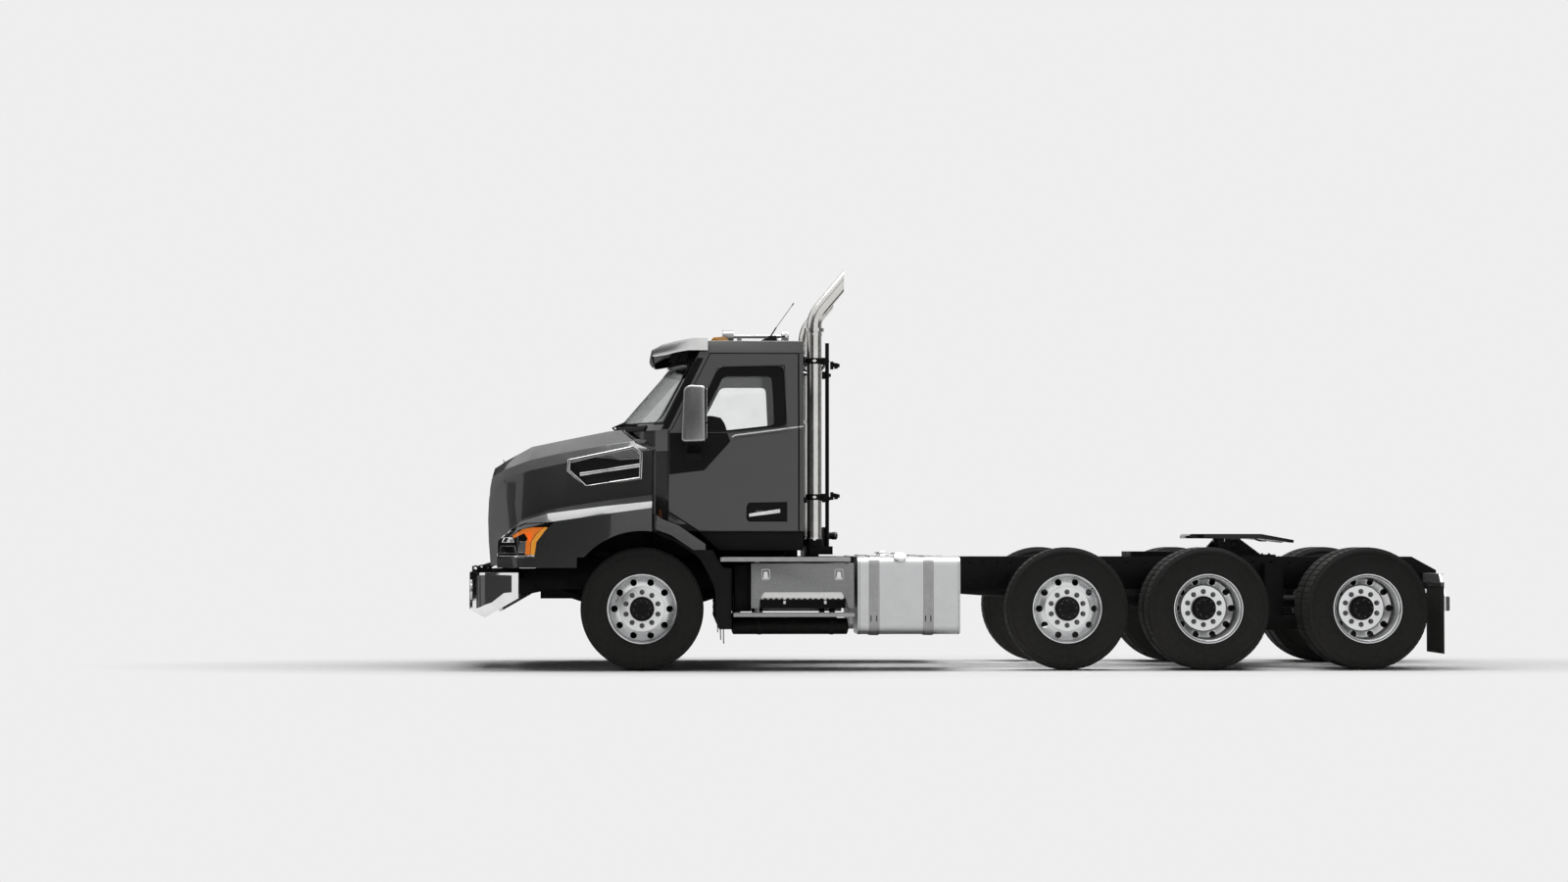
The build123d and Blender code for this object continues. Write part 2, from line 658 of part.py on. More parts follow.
rack = block((1430, 1510), (-1010, 1010), (rack_low, stack_low))
rack += block((1510, 1640), (-post_y - 25, post_y + 25), (rack_low + 20, stack_low))
for y in (-post_y, post_y):
    rack += bar((post_x, y, stack_low - 5), (post_x, y, rack_top), post_radius)
for z in (1480, 2650):
    rack += bar((post_x, -stack_y, z), (post_x, stack_y, z), 14)
    for y in (-stack_y, stack_y):
        clamp = block((stack_x - 12, post_x), (y - 16, y + 16), (z - 30, z + 30)) + Pos(stack_x, y, z) * Cylinder(74, 50)
        rack += clamp - Pos(stack_x, y, z) * Cylinder(stack_radius + seat_gap, 70)
rack += block((1585, 1625), (-330, 330), (stack_low - 5, 1226))
for y in (-220, -90, 90, 220):
    rack += bar((1620, y, 1150), (1680, y, 1150), 30)
write("stack_rack", rack)

# ---- step boxes, air tanks and fuel tanks --------------------------------
box_x = (927, 1806)
box_z = (530, 913)
box_face = 1180
step_x = (665, 1775)
step_z = (928, 964)
step_y = (1060, 1230)
low_step_x = (776, 1810)
low_step_z = (458, 492)
tread_outline = [(1000, 590), (1020, 640), (1040, 668), (1700, 668), (1720, 640), (1740, 590)]


def step_box():
    body = block(box_x, (-box_face, -rail_y), box_z)
    body -= side_cut(tread_outline, (-box_face - 1, -box_face + 220))
    body -= side_cut([(1000, 590), (985, box_z[0] - 1), (1755, box_z[0] - 1), (1740, 590)], (-box_face - 1, -box_face + 90))
    body += block(step_x, (-step_y[1], -step_y[0]), step_z)
    body += block(low_step_x, (-step_y[1], -step_y[0]), low_step_z)
    for x in (960, 1730):
        body += block((x, x + 40), (-1150, -1080), (box_z[1], step_z[0]))
        body += block((x, x + 40), (-1090, -1065), (low_step_z[1], box_z[0]))
    return body


write("step_boxes", *pair(step_box()))

air_tank = bar((776, -1000, 376), (1751, -1000, 376), 70)
for x in (980, 1600):
    air_tank += block((x, x + 50), (-1030, -970), (430, box_z[0]))
air_tank += block((790, box_x[0]), (-1020, -rail_y), (500, box_z[1] - 13))
air_tank += block((800, 840), (-1020, -980), (430, 500))
write("air_tanks", *pair(air_tank))

tank_x = (1835, 2709)
tank_y = (485, 1215)
tank_z = (309, 971)
tank_round = 95
strap_x = [(1935, 2015), (2400, 2477)]


def tank_section(grow, x):
    y = (-tank_y[1] - grow, -tank_y[0] + grow)
    z = (tank_z[0] - grow, tank_z[1] + grow)
    return front_cut([(y[0], z[0]), (y[1], z[0]), (y[1], z[1]), (y[0], z[1])], x, tank_round + grow)


fuel_tank = tank_section(0, tank_x)
fuel_tank += bar((2196, -1130, 925), (2196, -1180, 975), 46)
for x in strap_x:
    fuel_tank += tank_section(6, x)
    fuel_tank += block(x, (-tank_y[0] - 2, -rail_y), (rail_low + 20, rail_top - 20))
    fuel_tank += block(x, (-tank_y[0] - 20, -rail_y), (tank_z[0] + 60, rail_low + 60))
write("fuel_tanks", *pair(fuel_tank))

# ---- mudguards and fender ends behind the steer wheels -------------------
guard_y = (-1190, -560)
splash_plate = 20          # apron between the wheel and the frame
strip_y = (-1195, -cab_half - 8)
strip_low = 1026
liner_outline = [
    (128, 1160), (258, 1112), (380, 1038), (446, 990), (500, 940), (562, 827), (605, 740), (640, 740),
    (600, 850), (530, 965), (470, 1020), (390, 1070), (268, 1142), (140, 1182),
]
guard_outline = [
    (437, strip_low - seat_gap), (500, 940), (562, 827), (605, 740), (625, 660), (625, 419), (655, 353),
    (761, 353), (761, 869), (690, 880), (655, 925), (600, strip_low - seat_gap),
]
strip_outline = [
    (112, 1202), (248, 1152), (374, 1068), (437, strip_low), (541, strip_low), (541, 1078), (478, 1120),
    (311, 1236), (175, 1288), (118, 1330),
]
write("fender_ends", *pair(side_cut(strip_outline, strip_y)))
guard = side_cut(liner_outline, (strip_y[1] + 5, guard_y[1]))
guard += side_cut(guard_outline, guard_y)
guard -= side_cut([(655, 320), (655, 820), (731, 820), (731, 320)], (guard_y[0] + 30, guard_y[1] - 30))
guard += block((655, 740), (guard_y[1] - 1, -rail_y), (rail_low + 20, rail_low + 90))
guard += side_cut([(hood_tail + shut_gap, 1182), (hood_tail + shut_gap, 985), (560, 985), (625, 860), (640, 1182)],
                  (guard_y[1] - splash_plate, guard_y[1] + 1))
write("mudguards", *pair(guard))

# ---- fifth wheel ---------------------------------------------------------
coupling_x = 5200
coupling_z = 1070
trunnion_radius = 25
plate_top = 1166
plate_plan = [
    (4820, 250), (4930, 410), (5100, 450), (5420, 450), (5740, 330), (5740, 190), (5330, 40),
    (5330, -40), (5740, -190), (5740, -330), (5420, -450), (5100, -450), (4930, -410), (4820, -250),
]
plate = plan_cut(plate_plan, (coupling_z, plate_top))
plate &= side_cut([
    (4810, 1128), (4810, plate_top - 22), (4840, plate_top), (5430, plate_top), (5745, 1112), (5745, 1088),
    (5420, 1124),
], (-500, 500))
kingpin_x = 5262
kingpin_radius = 25.7
plate -= Pos(kingpin_x, 0, 1100) * Cylinder(kingpin_radius, 200)
for side in (-1, 1):
    plate += block((coupling_x - 70, coupling_x + 70), sorted((side * 290, side * 325)), (coupling_z - 30, 1140))
    plate += bar((coupling_x, side * 300, coupling_z), (coupling_x, side * 398, coupling_z), trunnion_radius)
write("fifth_wheel_plate", plate)

base_plate = 18
coupling_base = block((4800, 5560), (-rail_y, rail_y), (rail_top, rail_top + base_plate))
saddle_low = rail_top + base_plate
for side in (-1, 1):
    saddle = side_cut([
        (coupling_x - 180, saddle_low), (coupling_x + 235, saddle_low), (coupling_x + 60, coupling_z + 45),
        (coupling_x - 60, coupling_z + 45),
    ], sorted((side * 332, side * 398)))
    saddle -= bar((coupling_x, side * 300, coupling_z), (coupling_x, side * 400, coupling_z),
                  trunnion_radius + running_gap)
    coupling_base += saddle
coupling_base += block((4300, 4800), (-300, 300), (rail_top, rail_top + 45))
write("fifth_wheel_base", coupling_base)

# ---- mud flaps, their hangers and the tail lamps --------------------------
flap_x = (6850, 6860)
flap_y = (610, 1215)
hanger_plate = 18
lamp_y = (1095, 1200)
lamp_z = (512, 622)
lamp_deep = 34
hanger_x = (flap_x[1] + seat_gap, flap_x[1] + hanger_plate)
# front view of a hanger: from the rail outwards, then down to its lamp
hanger_outline = [
    (rail_y, 742), (rail_y, 822), (1020, 822), (lamp_y[1] + 8, lamp_z[1] + 10), (lamp_y[1] + 8, lamp_z[0] - 6),
    (lamp_y[0] - 8, lamp_z[0] - 6), (lamp_y[0] - 8, lamp_z[1] + 20), (980, 742),
]
flap = block(flap_x, (-flap_y[1], -flap_y[0]), (139, 751))
write("mud_flaps", *pair(flap))
hanger = front_cut([(-y, z) for y, z in hanger_outline], hanger_x)
hanger += block((hanger_x[0], hanger_x[1] + 30), (-1000, -rail_y), (812, 822))
write("flap_hangers", *pair(hanger))
lamp = block((hanger_x[1] + seat_gap, hanger_x[1] + lamp_deep), (-lamp_y[1], -lamp_y[0]), lamp_z)
write("tail_lamps", *pair(lamp))

# ---- hood with its fenders -----------------------------------------------
fender_low = 875
arch_radius = 650
# x, then height and half width of the fender's inner, middle and outer crease
fender_sections = [
    (-1242, 1118, 700, 1100, 900, 1060, 960),
    (-1054, 1285, 800, 1262, 1010, 1200, 1080),
    (-804, 1375, 870, 1338, 1076, 1262, 1150),
    (-358, 1445, 935, 1396, 1120, 1325, 1190),
    (hood_tail, 1500, 972, 1442, 1140, 1385, 1200),
]
fender_flare = 12          # lower edge outside the outer crease


def fender_volume(inset):
    """Right fender, from inside the hood's wall to its outer skin."""
    sections = []
    for x, crease, crease_half, middle, middle_half, edge, edge_half in fender_sections:
        low = fender_low - inset
        outline = [
            (crease_half - 250, low), (crease_half - 250, crease - inset), (crease_half - inset / 2, crease - inset),
            (middle_half - inset / 2, middle - inset), (edge_half - inset, edge - inset / 2),
            (edge_half + fender_flare - inset, low),
        ]
        sections.append((x, outline))
    return ruled(sections)


front_trim = block((-1400, -1242 + panel), (-1300, 1300), (0, 3000))
fender = fender_volume(0)
fender_hollow = fender_volume(panel) - front_trim
hood_form = hood_volume(0)
hood_hollow = hood_volume(panel)
hood_skin = hood_form + fender + mirror(fender, Plane.XZ)
hood = hood_skin - hood_hollow - fender_hollow - mirror(fender_hollow, Plane.XZ)
arch = bar((0, -1300, tyre_radius + 15), (0, 1300, tyre_radius + 15), arch_radius)
hood -= arch
hood -= side_cut([(-554, 0), (-554, fender_low + 90), (300, fender_low + 90), (300, 0)], (-1300, 1300))
hood -= behind_seam(0)

grille_outline = [(-440, 930), (440, 930), (430, 1480), (360, 1630), (-360, 1630), (-430, 1480)]
lamp_outline = [
    (-1290, 972), (-908, 979), (-901, 1084), (-817, 1196), (-749, 1264), (-999, 1257), (-1111, 1208), (-1221, 1118),
    (-1290, 1060),
]
vent_outline = [(-640, 1790), (-91, 1895), (-22, 1845), (-28, 1640), (-490, 1575), (-645, 1712)]
nose_lane = (-1400, -1240)
hood -= front_cut(grille_outline, nose_lane)
lamp_lane = (720, 1300)
vent_lane = (640, 1300)
vent_depth = 14
for lane, outline in ((lamp_lane, lamp_outline), (vent_lane, vent_outline)):
    cut = side_prism(outline, 0, lane)
    hood -= cut + mirror(cut, Plane.XZ)

ear_outline = [
    (hood_pivot[0] - 18, hood_pivot[1] - 16), (hood_pivot[0] - 18, hood_pivot[1] + 16), (-1315, 926), (-1315, 895),
    (hood_pivot[0] + 18, hood_pivot[1] - 16),
]
for side in (-1, 1):
    hood += side_cut(ear_outline, sorted((side * ear_y[0], side * ear_y[1])))
hood -= bar((hood_pivot[0], -400, hood_pivot[1]), (hood_pivot[0], 400, hood_pivot[1]), pivot_radius + running_gap)
write("hood", hood)

# ---- grille, headlamps and hood vents ------------------------------------
grille_frame = 34
bar_pitch = 92
grille_low = grille_outline[0][1]
grille_half = grille_outline[1][0]
grille_depth = nose_lane[1] - nose_lane[0]


def grille_prism(gap):
    face = Plane.YZ * moved_in(grille_outline, gap)
    return Pos(nose_lane[0], 0, 0) * extrude(face, grille_depth, dir=(1, 0, 0))


nose_sheet = hood_volume(0) - hood_volume(panel)
grille_hole = grille_prism(grille_frame)
grille = nose_sheet & (grille_prism(seat_gap) - grille_hole)
for row in range(8):
    z = grille_low + grille_frame + bar_pitch * (row + 0.5) - 9
    grille += nose_sheet & grille_hole & block(nose_lane, (-grille_half, grille_half), (z, z + 18))
for column in range(-3, 4):
    grille += nose_sheet & grille_hole & block(nose_lane, (column * 110 - 6, column * 110 + 6), (900, 1700))
write("grille", grille)

lamp_prism = side_prism(lamp_outline, seat_gap, lamp_lane)
headlamp = (fender_volume(6) - fender_volume(70)) & lamp_prism
headlamp += (fender_volume(6) & lamp_prism) & block((-1242, -1190), (720, 1300), (900, 1300))
headlamp -= block((-1300, -1236), (600, 1300), (900, 1300))
write("headlamps", *pair(headlamp))

vent = (hood_volume(4) - hood_volume(panel)) & side_prism(vent_outline, seat_gap, vent_lane)
slot = (hood_volume(3) - hood_volume(vent_depth)) & side_prism(vent_outline, 26, vent_lane)
divider = side_prism([(-640, 1690), (-22, 1765), (-22, 1735), (-640, 1660)], 0, vent_lane)
vent -= slot - divider
write("hood_vents", *pair(vent))
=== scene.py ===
import bpy, bmesh, math
from mathutils import Matrix, Vector
from mathutils.bvhtree import BVHTree


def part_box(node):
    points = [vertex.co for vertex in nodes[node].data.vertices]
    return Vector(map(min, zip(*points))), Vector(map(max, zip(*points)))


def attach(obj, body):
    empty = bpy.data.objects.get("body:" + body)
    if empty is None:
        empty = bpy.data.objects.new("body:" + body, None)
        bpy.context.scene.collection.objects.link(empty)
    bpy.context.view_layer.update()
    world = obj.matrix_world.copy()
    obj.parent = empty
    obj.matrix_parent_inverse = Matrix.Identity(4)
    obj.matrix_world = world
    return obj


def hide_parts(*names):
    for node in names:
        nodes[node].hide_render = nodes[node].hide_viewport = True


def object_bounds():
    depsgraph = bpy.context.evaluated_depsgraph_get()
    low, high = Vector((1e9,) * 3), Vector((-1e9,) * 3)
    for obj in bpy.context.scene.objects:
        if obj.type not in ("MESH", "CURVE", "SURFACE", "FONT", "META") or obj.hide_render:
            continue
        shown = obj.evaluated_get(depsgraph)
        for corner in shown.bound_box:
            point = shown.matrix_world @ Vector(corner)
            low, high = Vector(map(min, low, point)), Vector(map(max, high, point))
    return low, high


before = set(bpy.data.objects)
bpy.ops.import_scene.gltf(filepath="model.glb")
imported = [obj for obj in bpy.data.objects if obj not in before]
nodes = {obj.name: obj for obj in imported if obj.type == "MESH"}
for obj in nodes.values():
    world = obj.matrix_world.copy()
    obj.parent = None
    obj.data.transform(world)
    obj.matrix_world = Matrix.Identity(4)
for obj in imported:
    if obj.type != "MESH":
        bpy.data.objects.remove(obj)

cad_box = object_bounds()
sides = (("left", -1), ("right", 1))

# ---- studio --------------------------------------------------------------
# A pale floor runs into a pale backdrop, under one wide soft lamp and two small ones at the
# corners. A long lens stands at the height of the wheel hubs.
link = bpy.context.scene.collection.objects.link
lens = bpy.data.cameras.new("long_lens")
lens.sensor_width = 36.0
lens.lens = 72.39
lens.clip_end = 300
camera = bpy.data.objects.new("camera", lens)
camera.location = (-2.396, -28.033, 1.0888)
camera.rotation_euler = (math.radians(91.848), 0, math.radians(-1.851))
link(camera)
bpy.context.scene.camera = camera
bpy.context.scene.view_settings.view_transform = "Standard"

backdrop = (0.86, 0.86, 0.86, 1)


def add(tree, kind, *links, **values):
    """A node whose named inputs are sockets or plain values."""
    made = tree.nodes.new(kind)
    for name, value in values.items():
        setattr(made, name, value)
    for key, value in links:
        socket = made.inputs[key]
        if isinstance(value, bpy.types.NodeSocket):
            tree.links.new(value, socket)
        else:
            socket.default_value = value
    return made


def is_seen(tree):
    """1 for rays that show the studio itself: camera, mirror and glass rays."""
    path = add(tree, "ShaderNodeLightPath")
    shown = path.outputs["Is Camera Ray"]
    for ray in ("Is Glossy Ray", "Is Transmission Ray"):
        shown = add(tree, "ShaderNodeMath", (0, shown), (1, path.outputs[ray]), operation="MAXIMUM").outputs[0]
    return shown


room = bpy.data.worlds.new("room")
bpy.context.scene.world = room
room.use_nodes = True
t = room.node_tree
t.nodes.clear()
pale = add(t, "ShaderNodeBackground", ("Color", backdrop), ("Strength", 1.0))
soft = add(t, "ShaderNodeBackground", ("Color", (0.9, 0.92, 0.95, 1)), ("Strength", 0.05))
sky = add(t, "ShaderNodeMixShader", (0, is_seen(t)), (1, soft.outputs[0]), (2, pale.outputs[0]))
add(t, "ShaderNodeOutputWorld", ("Surface", sky.outputs[0]))


def softbox(name, place, aim, size, power):
    """A wide lamp that no camera ray shows."""
    light = bpy.data.lights.new(name, "AREA")
    light.shape = "RECTANGLE"
    light.size, light.size_y = size
    light.energy = power
    lamp = bpy.data.objects.new(name, light)
    lamp.location = place
    lamp.rotation_euler = (Vector(aim) - Vector(place)).to_track_quat("-Z", "Y").to_euler()
    lamp.visible_camera = False
    link(lamp)


softbox("overhead", (0, 0, 9), (0, 0, 0), (13, 4), 980)
softbox("corner", (-9, -12, 7), (-1, 0, 1), (6, 4), 80)
softbox("far_corner", (8, 12, 7), (0, 0, 1), (6, 4), 50)

floor_data = bpy.data.meshes.new("floor")
floor_data.from_pydata([(x, y, 0) for x, y in ((-90, -90), (90, -90), (90, 90), (-90, 90))], [], [(0, 1, 2, 3)])
floor = bpy.data.objects.new("floor", floor_data)
link(floor)
sweep_finish = bpy.data.materials.new("paper_floor")
sweep_finish.use_nodes = True
t = sweep_finish.node_tree
t.nodes.clear()
place = add(t, "ShaderNodeTexCoord")
squeeze = add(t, "ShaderNodeMapping", ("Vector", place.outputs["Object"]), ("Scale", (0.1, 0.28, 1)))
reach = add(t, "ShaderNodeVectorMath", (0, squeeze.outputs[0]), operation="LENGTH")
fade = add(t, "ShaderNodeMapRange", ("Value", reach.outputs["Value"]), ("From Min", 0.42), ("From Max", 0.8),
           interpolation_type="SMOOTHSTEP")
paper = add(t, "ShaderNodeBsdfDiffuse", ("Color", (0.9, 0.9, 0.9, 1)))
glow = add(t, "ShaderNodeEmission", ("Color", backdrop), ("Strength", 1.0))
seen = add(t, "ShaderNodeMath", (0, is_seen(t)), (1, fade.outputs[0]), operation="MULTIPLY")
mixed = add(t, "ShaderNodeMixShader", (0, seen.outputs[0]), (1, paper.outputs[0]), (2, glow.outputs[0]))
add(t, "ShaderNodeOutputMaterial", ("Surface", mixed.outputs[0]))
floor_data.materials.append(sweep_finish)


def surface_of(material, **values):
    """The inputs of a material's surface, with some of them set."""
    sockets = material.node_tree.nodes["Principled BSDF"].inputs
    for label, value in values.items():
        sockets[label.replace("_", " ")].default_value = value
    return sockets


# Black flags stand round the set. Only polished metal and glass show them. Each is given by
# the direction of its middle and half its width, in degrees, and by its height.
flag_finish = bpy.data.materials.new("black_flag")
flag_finish.use_nodes = True
surface_of(flag_finish, Base_Color=(0.02, 0.02, 0.02, 1), Roughness=1.0, Specular_IOR_Level=0.0)
flag_distance = 16
corners, panels = [], []
flag_rows = ((-127, 22, 9), (-22, 14, 6), (-162, 6, 5), (14, 16, 6), (162, 6, 5), (56, 11, 6), (127, 22, 9))
for middle, half, top in flag_rows:
    panels.append(tuple(range(len(corners), len(corners) + 4)))
    for turn, z in ((middle - half, 0.0), (middle + half, 0.0), (middle + half, top), (middle - half, top)):
        angle = math.radians(turn)
        corners.append((flag_distance * math.cos(angle), flag_distance * math.sin(angle), z))
flag_data = bpy.data.meshes.new("flags")
flag_data.from_pydata(corners, [], panels)
flag_data.materials.append(flag_finish)
flags = bpy.data.objects.new("flags", flag_data)
link(flags)
flags.visible_camera = flags.visible_diffuse = flags.visible_shadow = flags.visible_transmission = False

# ---- painted panels ------------------------------------------------------
# Hood, fenders, cab and doors are pressed aluminium and moulded panels in one
# dark metallic grey: flake under clear coat, with a film of road dust low down.
def group(name, inputs, outputs):
    """An empty group of shader nodes, with its first and last node."""
    made = bpy.data.node_groups.new(name, "ShaderNodeTree")
    for label, kind, value in inputs:
        socket = made.interface.new_socket(label, in_out="INPUT", socket_type=kind)
        socket.default_value = value
    for label, kind in outputs:
        made.interface.new_socket(label, in_out="OUTPUT", socket_type=kind)
    return made, add(made, "NodeGroupInput"), add(made, "NodeGroupOutput")


wear, given, result = group("road_wear", [
    ("Colour", "NodeSocketColor", (0.5, 0.5, 0.5, 1)), ("Roughness", "NodeSocketFloat", 0.5),
    ("Patch size", "NodeSocketFloat", 3.0), ("Patchiness", "NodeSocketFloat", 0.2),
    ("Dust", "NodeSocketFloat", 0.1), ("Dust height", "NodeSocketFloat", 1.2),
], [("Colour", "NodeSocketColor"), ("Roughness", "NodeSocketFloat")])
spot = add(wear, "ShaderNodeTexCoord").outputs["Object"]
patches = add(wear, "ShaderNodeTexNoise", ("Vector", spot), ("Scale", given.outputs["Patch size"]), ("Detail", 6.0),
              ("Roughness", 0.6))
swing = add(wear, "ShaderNodeMapRange", ("Value", patches.outputs["Fac"]), ("From Min", 0.3), ("From Max", 0.7),
            ("To Min", -1.0), ("To Max", 1.0))
shift = add(wear, "ShaderNodeMath", (0, swing.outputs[0]), (1, given.outputs["Patchiness"]), operation="MULTIPLY")
shade = add(wear, "ShaderNodeMath", (0, shift.outputs[0]), (1, 1.0), operation="ADD")
toned = add(wear, "ShaderNodeVectorMath", (0, given.outputs["Colour"]), (1, shade.outputs[0]), operation="MULTIPLY")
height = add(wear, "ShaderNodeSeparateXYZ", (0, spot)).outputs["Z"]
lowness = add(wear, "ShaderNodeMapRange", ("Value", height), ("From Min", 0.0),
              ("From Max", given.outputs["Dust height"]), ("To Min", 1.0), ("To Max", 0.0))
specks = add(wear, "ShaderNodeTexNoise", ("Vector", spot), ("Scale", 28.0), ("Detail", 8.0), ("Roughness", 0.7))
film = add(wear, "ShaderNodeMath", (0, lowness.outputs[0]), (1, specks.outputs["Fac"]), operation="MULTIPLY")
film = add(wear, "ShaderNodeMath", (0, film.outputs[0]), (1, given.outputs["Dust"]), operation="MULTIPLY",
           use_clamp=True)
dust_colour = (0.16, 0.15, 0.135, 1)
dusted = add(wear, "ShaderNodeMix", (0, film.outputs[0]), (6, toned.outputs[0]), (7, dust_colour), data_type="RGBA")
dulled = add(wear, "ShaderNodeMath", (0, given.outputs["Roughness"]), (1, shade.outputs[0]), operation="MULTIPLY")
dulled = add(wear, "ShaderNodeMath", (0, dulled.outputs[0]), (1, film.outputs[0]), operation="ADD", use_clamp=True)
wear.links.new(dusted.outputs[2], result.inputs["Colour"])
wear.links.new(dulled.outputs[0], result.inputs["Roughness"])


def finish(name, colour, roughness, metallic=0.0, patch=3.0, patchiness=0.15, dust=0.1, dust_height=1.2,
           grain=None, coat=0.0, specular=0.5, transmission=0.0):
    """A worn surface: its colour and roughness through the road wear, and a grain (scale, depth, stretch) as bump."""
    made = bpy.data.materials.new(name)
    made.use_nodes = True
    tree = made.node_tree
    surface = surface_of(made, Metallic=metallic, Coat_Weight=coat, Coat_Roughness=0.04, Specular_IOR_Level=specular,
                         Transmission_Weight=transmission)
    worn = add(tree, "ShaderNodeGroup", node_tree=wear)
    for label, value in (("Colour", (*colour, 1)), ("Roughness", roughness), ("Patch size", patch),
                         ("Patchiness", patchiness), ("Dust", dust), ("Dust height", dust_height)):
        worn.inputs[label].default_value = value
    tree.links.new(worn.outputs["Colour"], surface["Base Color"])
    tree.links.new(worn.outputs["Roughness"], surface["Roughness"])
    if grain:
        scale, depth, *stretch = grain
        spot = add(tree, "ShaderNodeTexCoord").outputs["Object"]
        drawn = add(tree, "ShaderNodeMapping", ("Vector", spot), ("Scale", stretch[0] if stretch else (1, 1, 1)))
        noise = add(tree, "ShaderNodeTexNoise", ("Vector", drawn.outputs[0]), ("Scale", scale), ("Detail", 4.0))
        relief = add(tree, "ShaderNodeBump", ("Height", noise.outputs["Fac"]), ("Distance", depth), ("Strength", 1.0))
        tree.links.new(relief.outputs[0], surface["Normal"])
    return made


paint = finish("graphite_paint", (0.051, 0.054, 0.051), 0.36, metallic=0.5, patch=1.2, patchiness=0.06, dust=0.12,
               dust_height=1.6, coat=1.0)
t = paint.node_tree
spot = add(t, "ShaderNodeTexCoord").outputs["Object"]
flake = add(t, "ShaderNodeTexVoronoi", ("Vector", spot), ("Scale", 1400.0))
sparkle = add(t, "ShaderNodeBump", ("Height", flake.outputs["Distance"]), ("Distance", 0.00006), ("Strength", 0.35))
t.links.new(sparkle.outputs[0], surface_of(paint)["Normal"])


def rounding_tree():
    """Geometry nodes that smooth a panel and keep its creases sharp."""
    made = bpy.data.node_groups.new("smooth_between_creases", "GeometryNodeTree")
    made.interface.new_socket("Geometry", in_out="INPUT", socket_type="NodeSocketGeometry")
    crease = made.interface.new_socket("Crease angle", in_out="INPUT", socket_type="NodeSocketFloat")
    crease.default_value = 0.6
    made.interface.new_socket("Geometry", in_out="OUTPUT", socket_type="NodeSocketGeometry")
    start, end = add(made, "NodeGroupInput"), add(made, "NodeGroupOutput")
    bare = add(made, "GeometryNodeRemoveAttribute", ("Geometry", start.outputs[0]), ("Name", "custom_normal"))
    faces = add(made, "GeometryNodeSetShadeSmooth", ("Geometry", bare.outputs[0]), ("Shade Smooth", True),
                domain="FACE")
    angle = add(made, "GeometryNodeInputMeshEdgeAngle")
    small = add(made, "FunctionNodeCompare", (0, angle.outputs["Unsigned Angle"]), (1, start.outputs["Crease angle"]),
                operation="LESS_THAN")
    edges = add(made, "GeometryNodeSetShadeSmooth", ("Geometry", faces.outputs[0]),
                ("Shade Smooth", small.outputs[0]),
                domain="EDGE")
    made.links.new(edges.outputs[0], end.inputs[0])
    return made, crease.identifier


smooth_tree, crease_socket = rounding_tree()


def dress(names, material, edge=0.0, crease=35, fold=18):
    """CAD nodes in their finish, with folds sharper than an angle rounded by a few millimetres where edge is given."""
    for name in names:
        panel = nodes[name]
        for slot in panel.material_slots:
            slot.material = material
        weld = panel.modifiers.new("weld", "WELD")
        weld.merge_threshold = 0.00001
        if edge:
            flat = panel.modifiers.new("flat", "DECIMATE")
            flat.decimate_type = "DISSOLVE"
            flat.angle_limit = math.radians(0.4)
            bevel = panel.modifiers.new("edge", "BEVEL")
            bevel.width = edge
            bevel.segments = 2
            bevel.limit_method = "ANGLE"
            bevel.angle_limit = math.radians(fold)
        smooth = panel.modifiers.new("smooth", "NODES")
        smooth.node_group = smooth_tree
        smooth[crease_socket] = math.radians(crease)


both = lambda *names: [f"{name}_{side}" for name in names for side, _ in sides]
dress(["hood"], paint, 0.014, crease=19, fold=18)
dress(["cab_front", "cab_back", "cab_roof", "fender_ends", *both("door")], paint, 0.006, crease=16, fold=9)

# ---- plain finishes ------------------------------------------------------
# Chrome, satin and mill-finish metals, black paint on the chassis, grained black moulding,
# rubber, lenses and glass. The drawn nodes that stay visible get theirs here.
chrome = finish("chrome", (0.72, 0.72, 0.72), 0.09, metallic=1.0, patch=5, patchiness=0.25, dust=0.15)
bright_chrome = finish("bright_chrome", (0.84, 0.84, 0.84), 0.12, metallic=1.0, patch=5, patchiness=0.06, dust=0.0)
satin = finish("satin_chrome", (0.74, 0.74, 0.735), 0.24, metallic=1.0, patch=5, patchiness=0.1, dust=0.05)
nut_steel = finish("nut_steel", (0.09, 0.09, 0.092), 0.3, metallic=1.0, patch=30, patchiness=0.2)
frame_paint = finish("chassis_black", (0.003, 0.003, 0.0032), 0.42, patch=6, patchiness=0.3, dust=0.14,
                     grain=(90, 0.0004), specular=0.1)
cast = finish("cast_black", (0.005, 0.005, 0.0053), 0.55, patch=9, patchiness=0.35, dust=0.2,
              grain=(260, 0.0008), specular=0.12)
trim = finish("grained_trim", (0.005, 0.005, 0.0053), 0.5, patch=4, dust=0.16, grain=(700, 0.0002), specular=0.15)
rubber = finish("tyre_rubber", (0.021, 0.021, 0.0205), 0.62, patch=7, patchiness=0.2, dust=0.25,
                grain=(160, 0.0004), specular=0.12)
sheet = finish("galvanised_sheet", (0.26, 0.262, 0.264), 0.4, metallic=0.9, patch=60, patchiness=0.14, dust=0.12,
               grain=(60, 0.0002))
tank = finish("tank_aluminium", (0.64, 0.645, 0.65), 0.33, metallic=0.95, patch=8, patchiness=0.03, dust=0.15,
              grain=(420, 0.00015, (0.03, 1, 1)))
# a darker copy of chrome for the horns and mirror heads: painted shade that keeps them from showing lit white
chrome_painted_darker = finish("chrome_with_painted_shade", (0.38, 0.38, 0.38), 0.3, metallic=1.0, patch=40, patchiness=0.07, dust=0.0,
                      grain=(900, 0.0003))
stack_steel = finish("stack_steel", (0.70, 0.69, 0.67), 0.2, metallic=1.0, patch=4, patchiness=0.12, dust=0.0,
                     grain=(300, 0.0001, (1, 1, 0.02)))
inside = finish("cab_moulding", (0.012, 0.012, 0.013), 0.6, patch=6, patchiness=0.12, dust=0.0, grain=(900, 0.0002))
amber = finish("amber_lens", (0.95, 0.42, 0.05), 0.12, patch=30, patchiness=0.1, dust=0.0, coat=1.0)
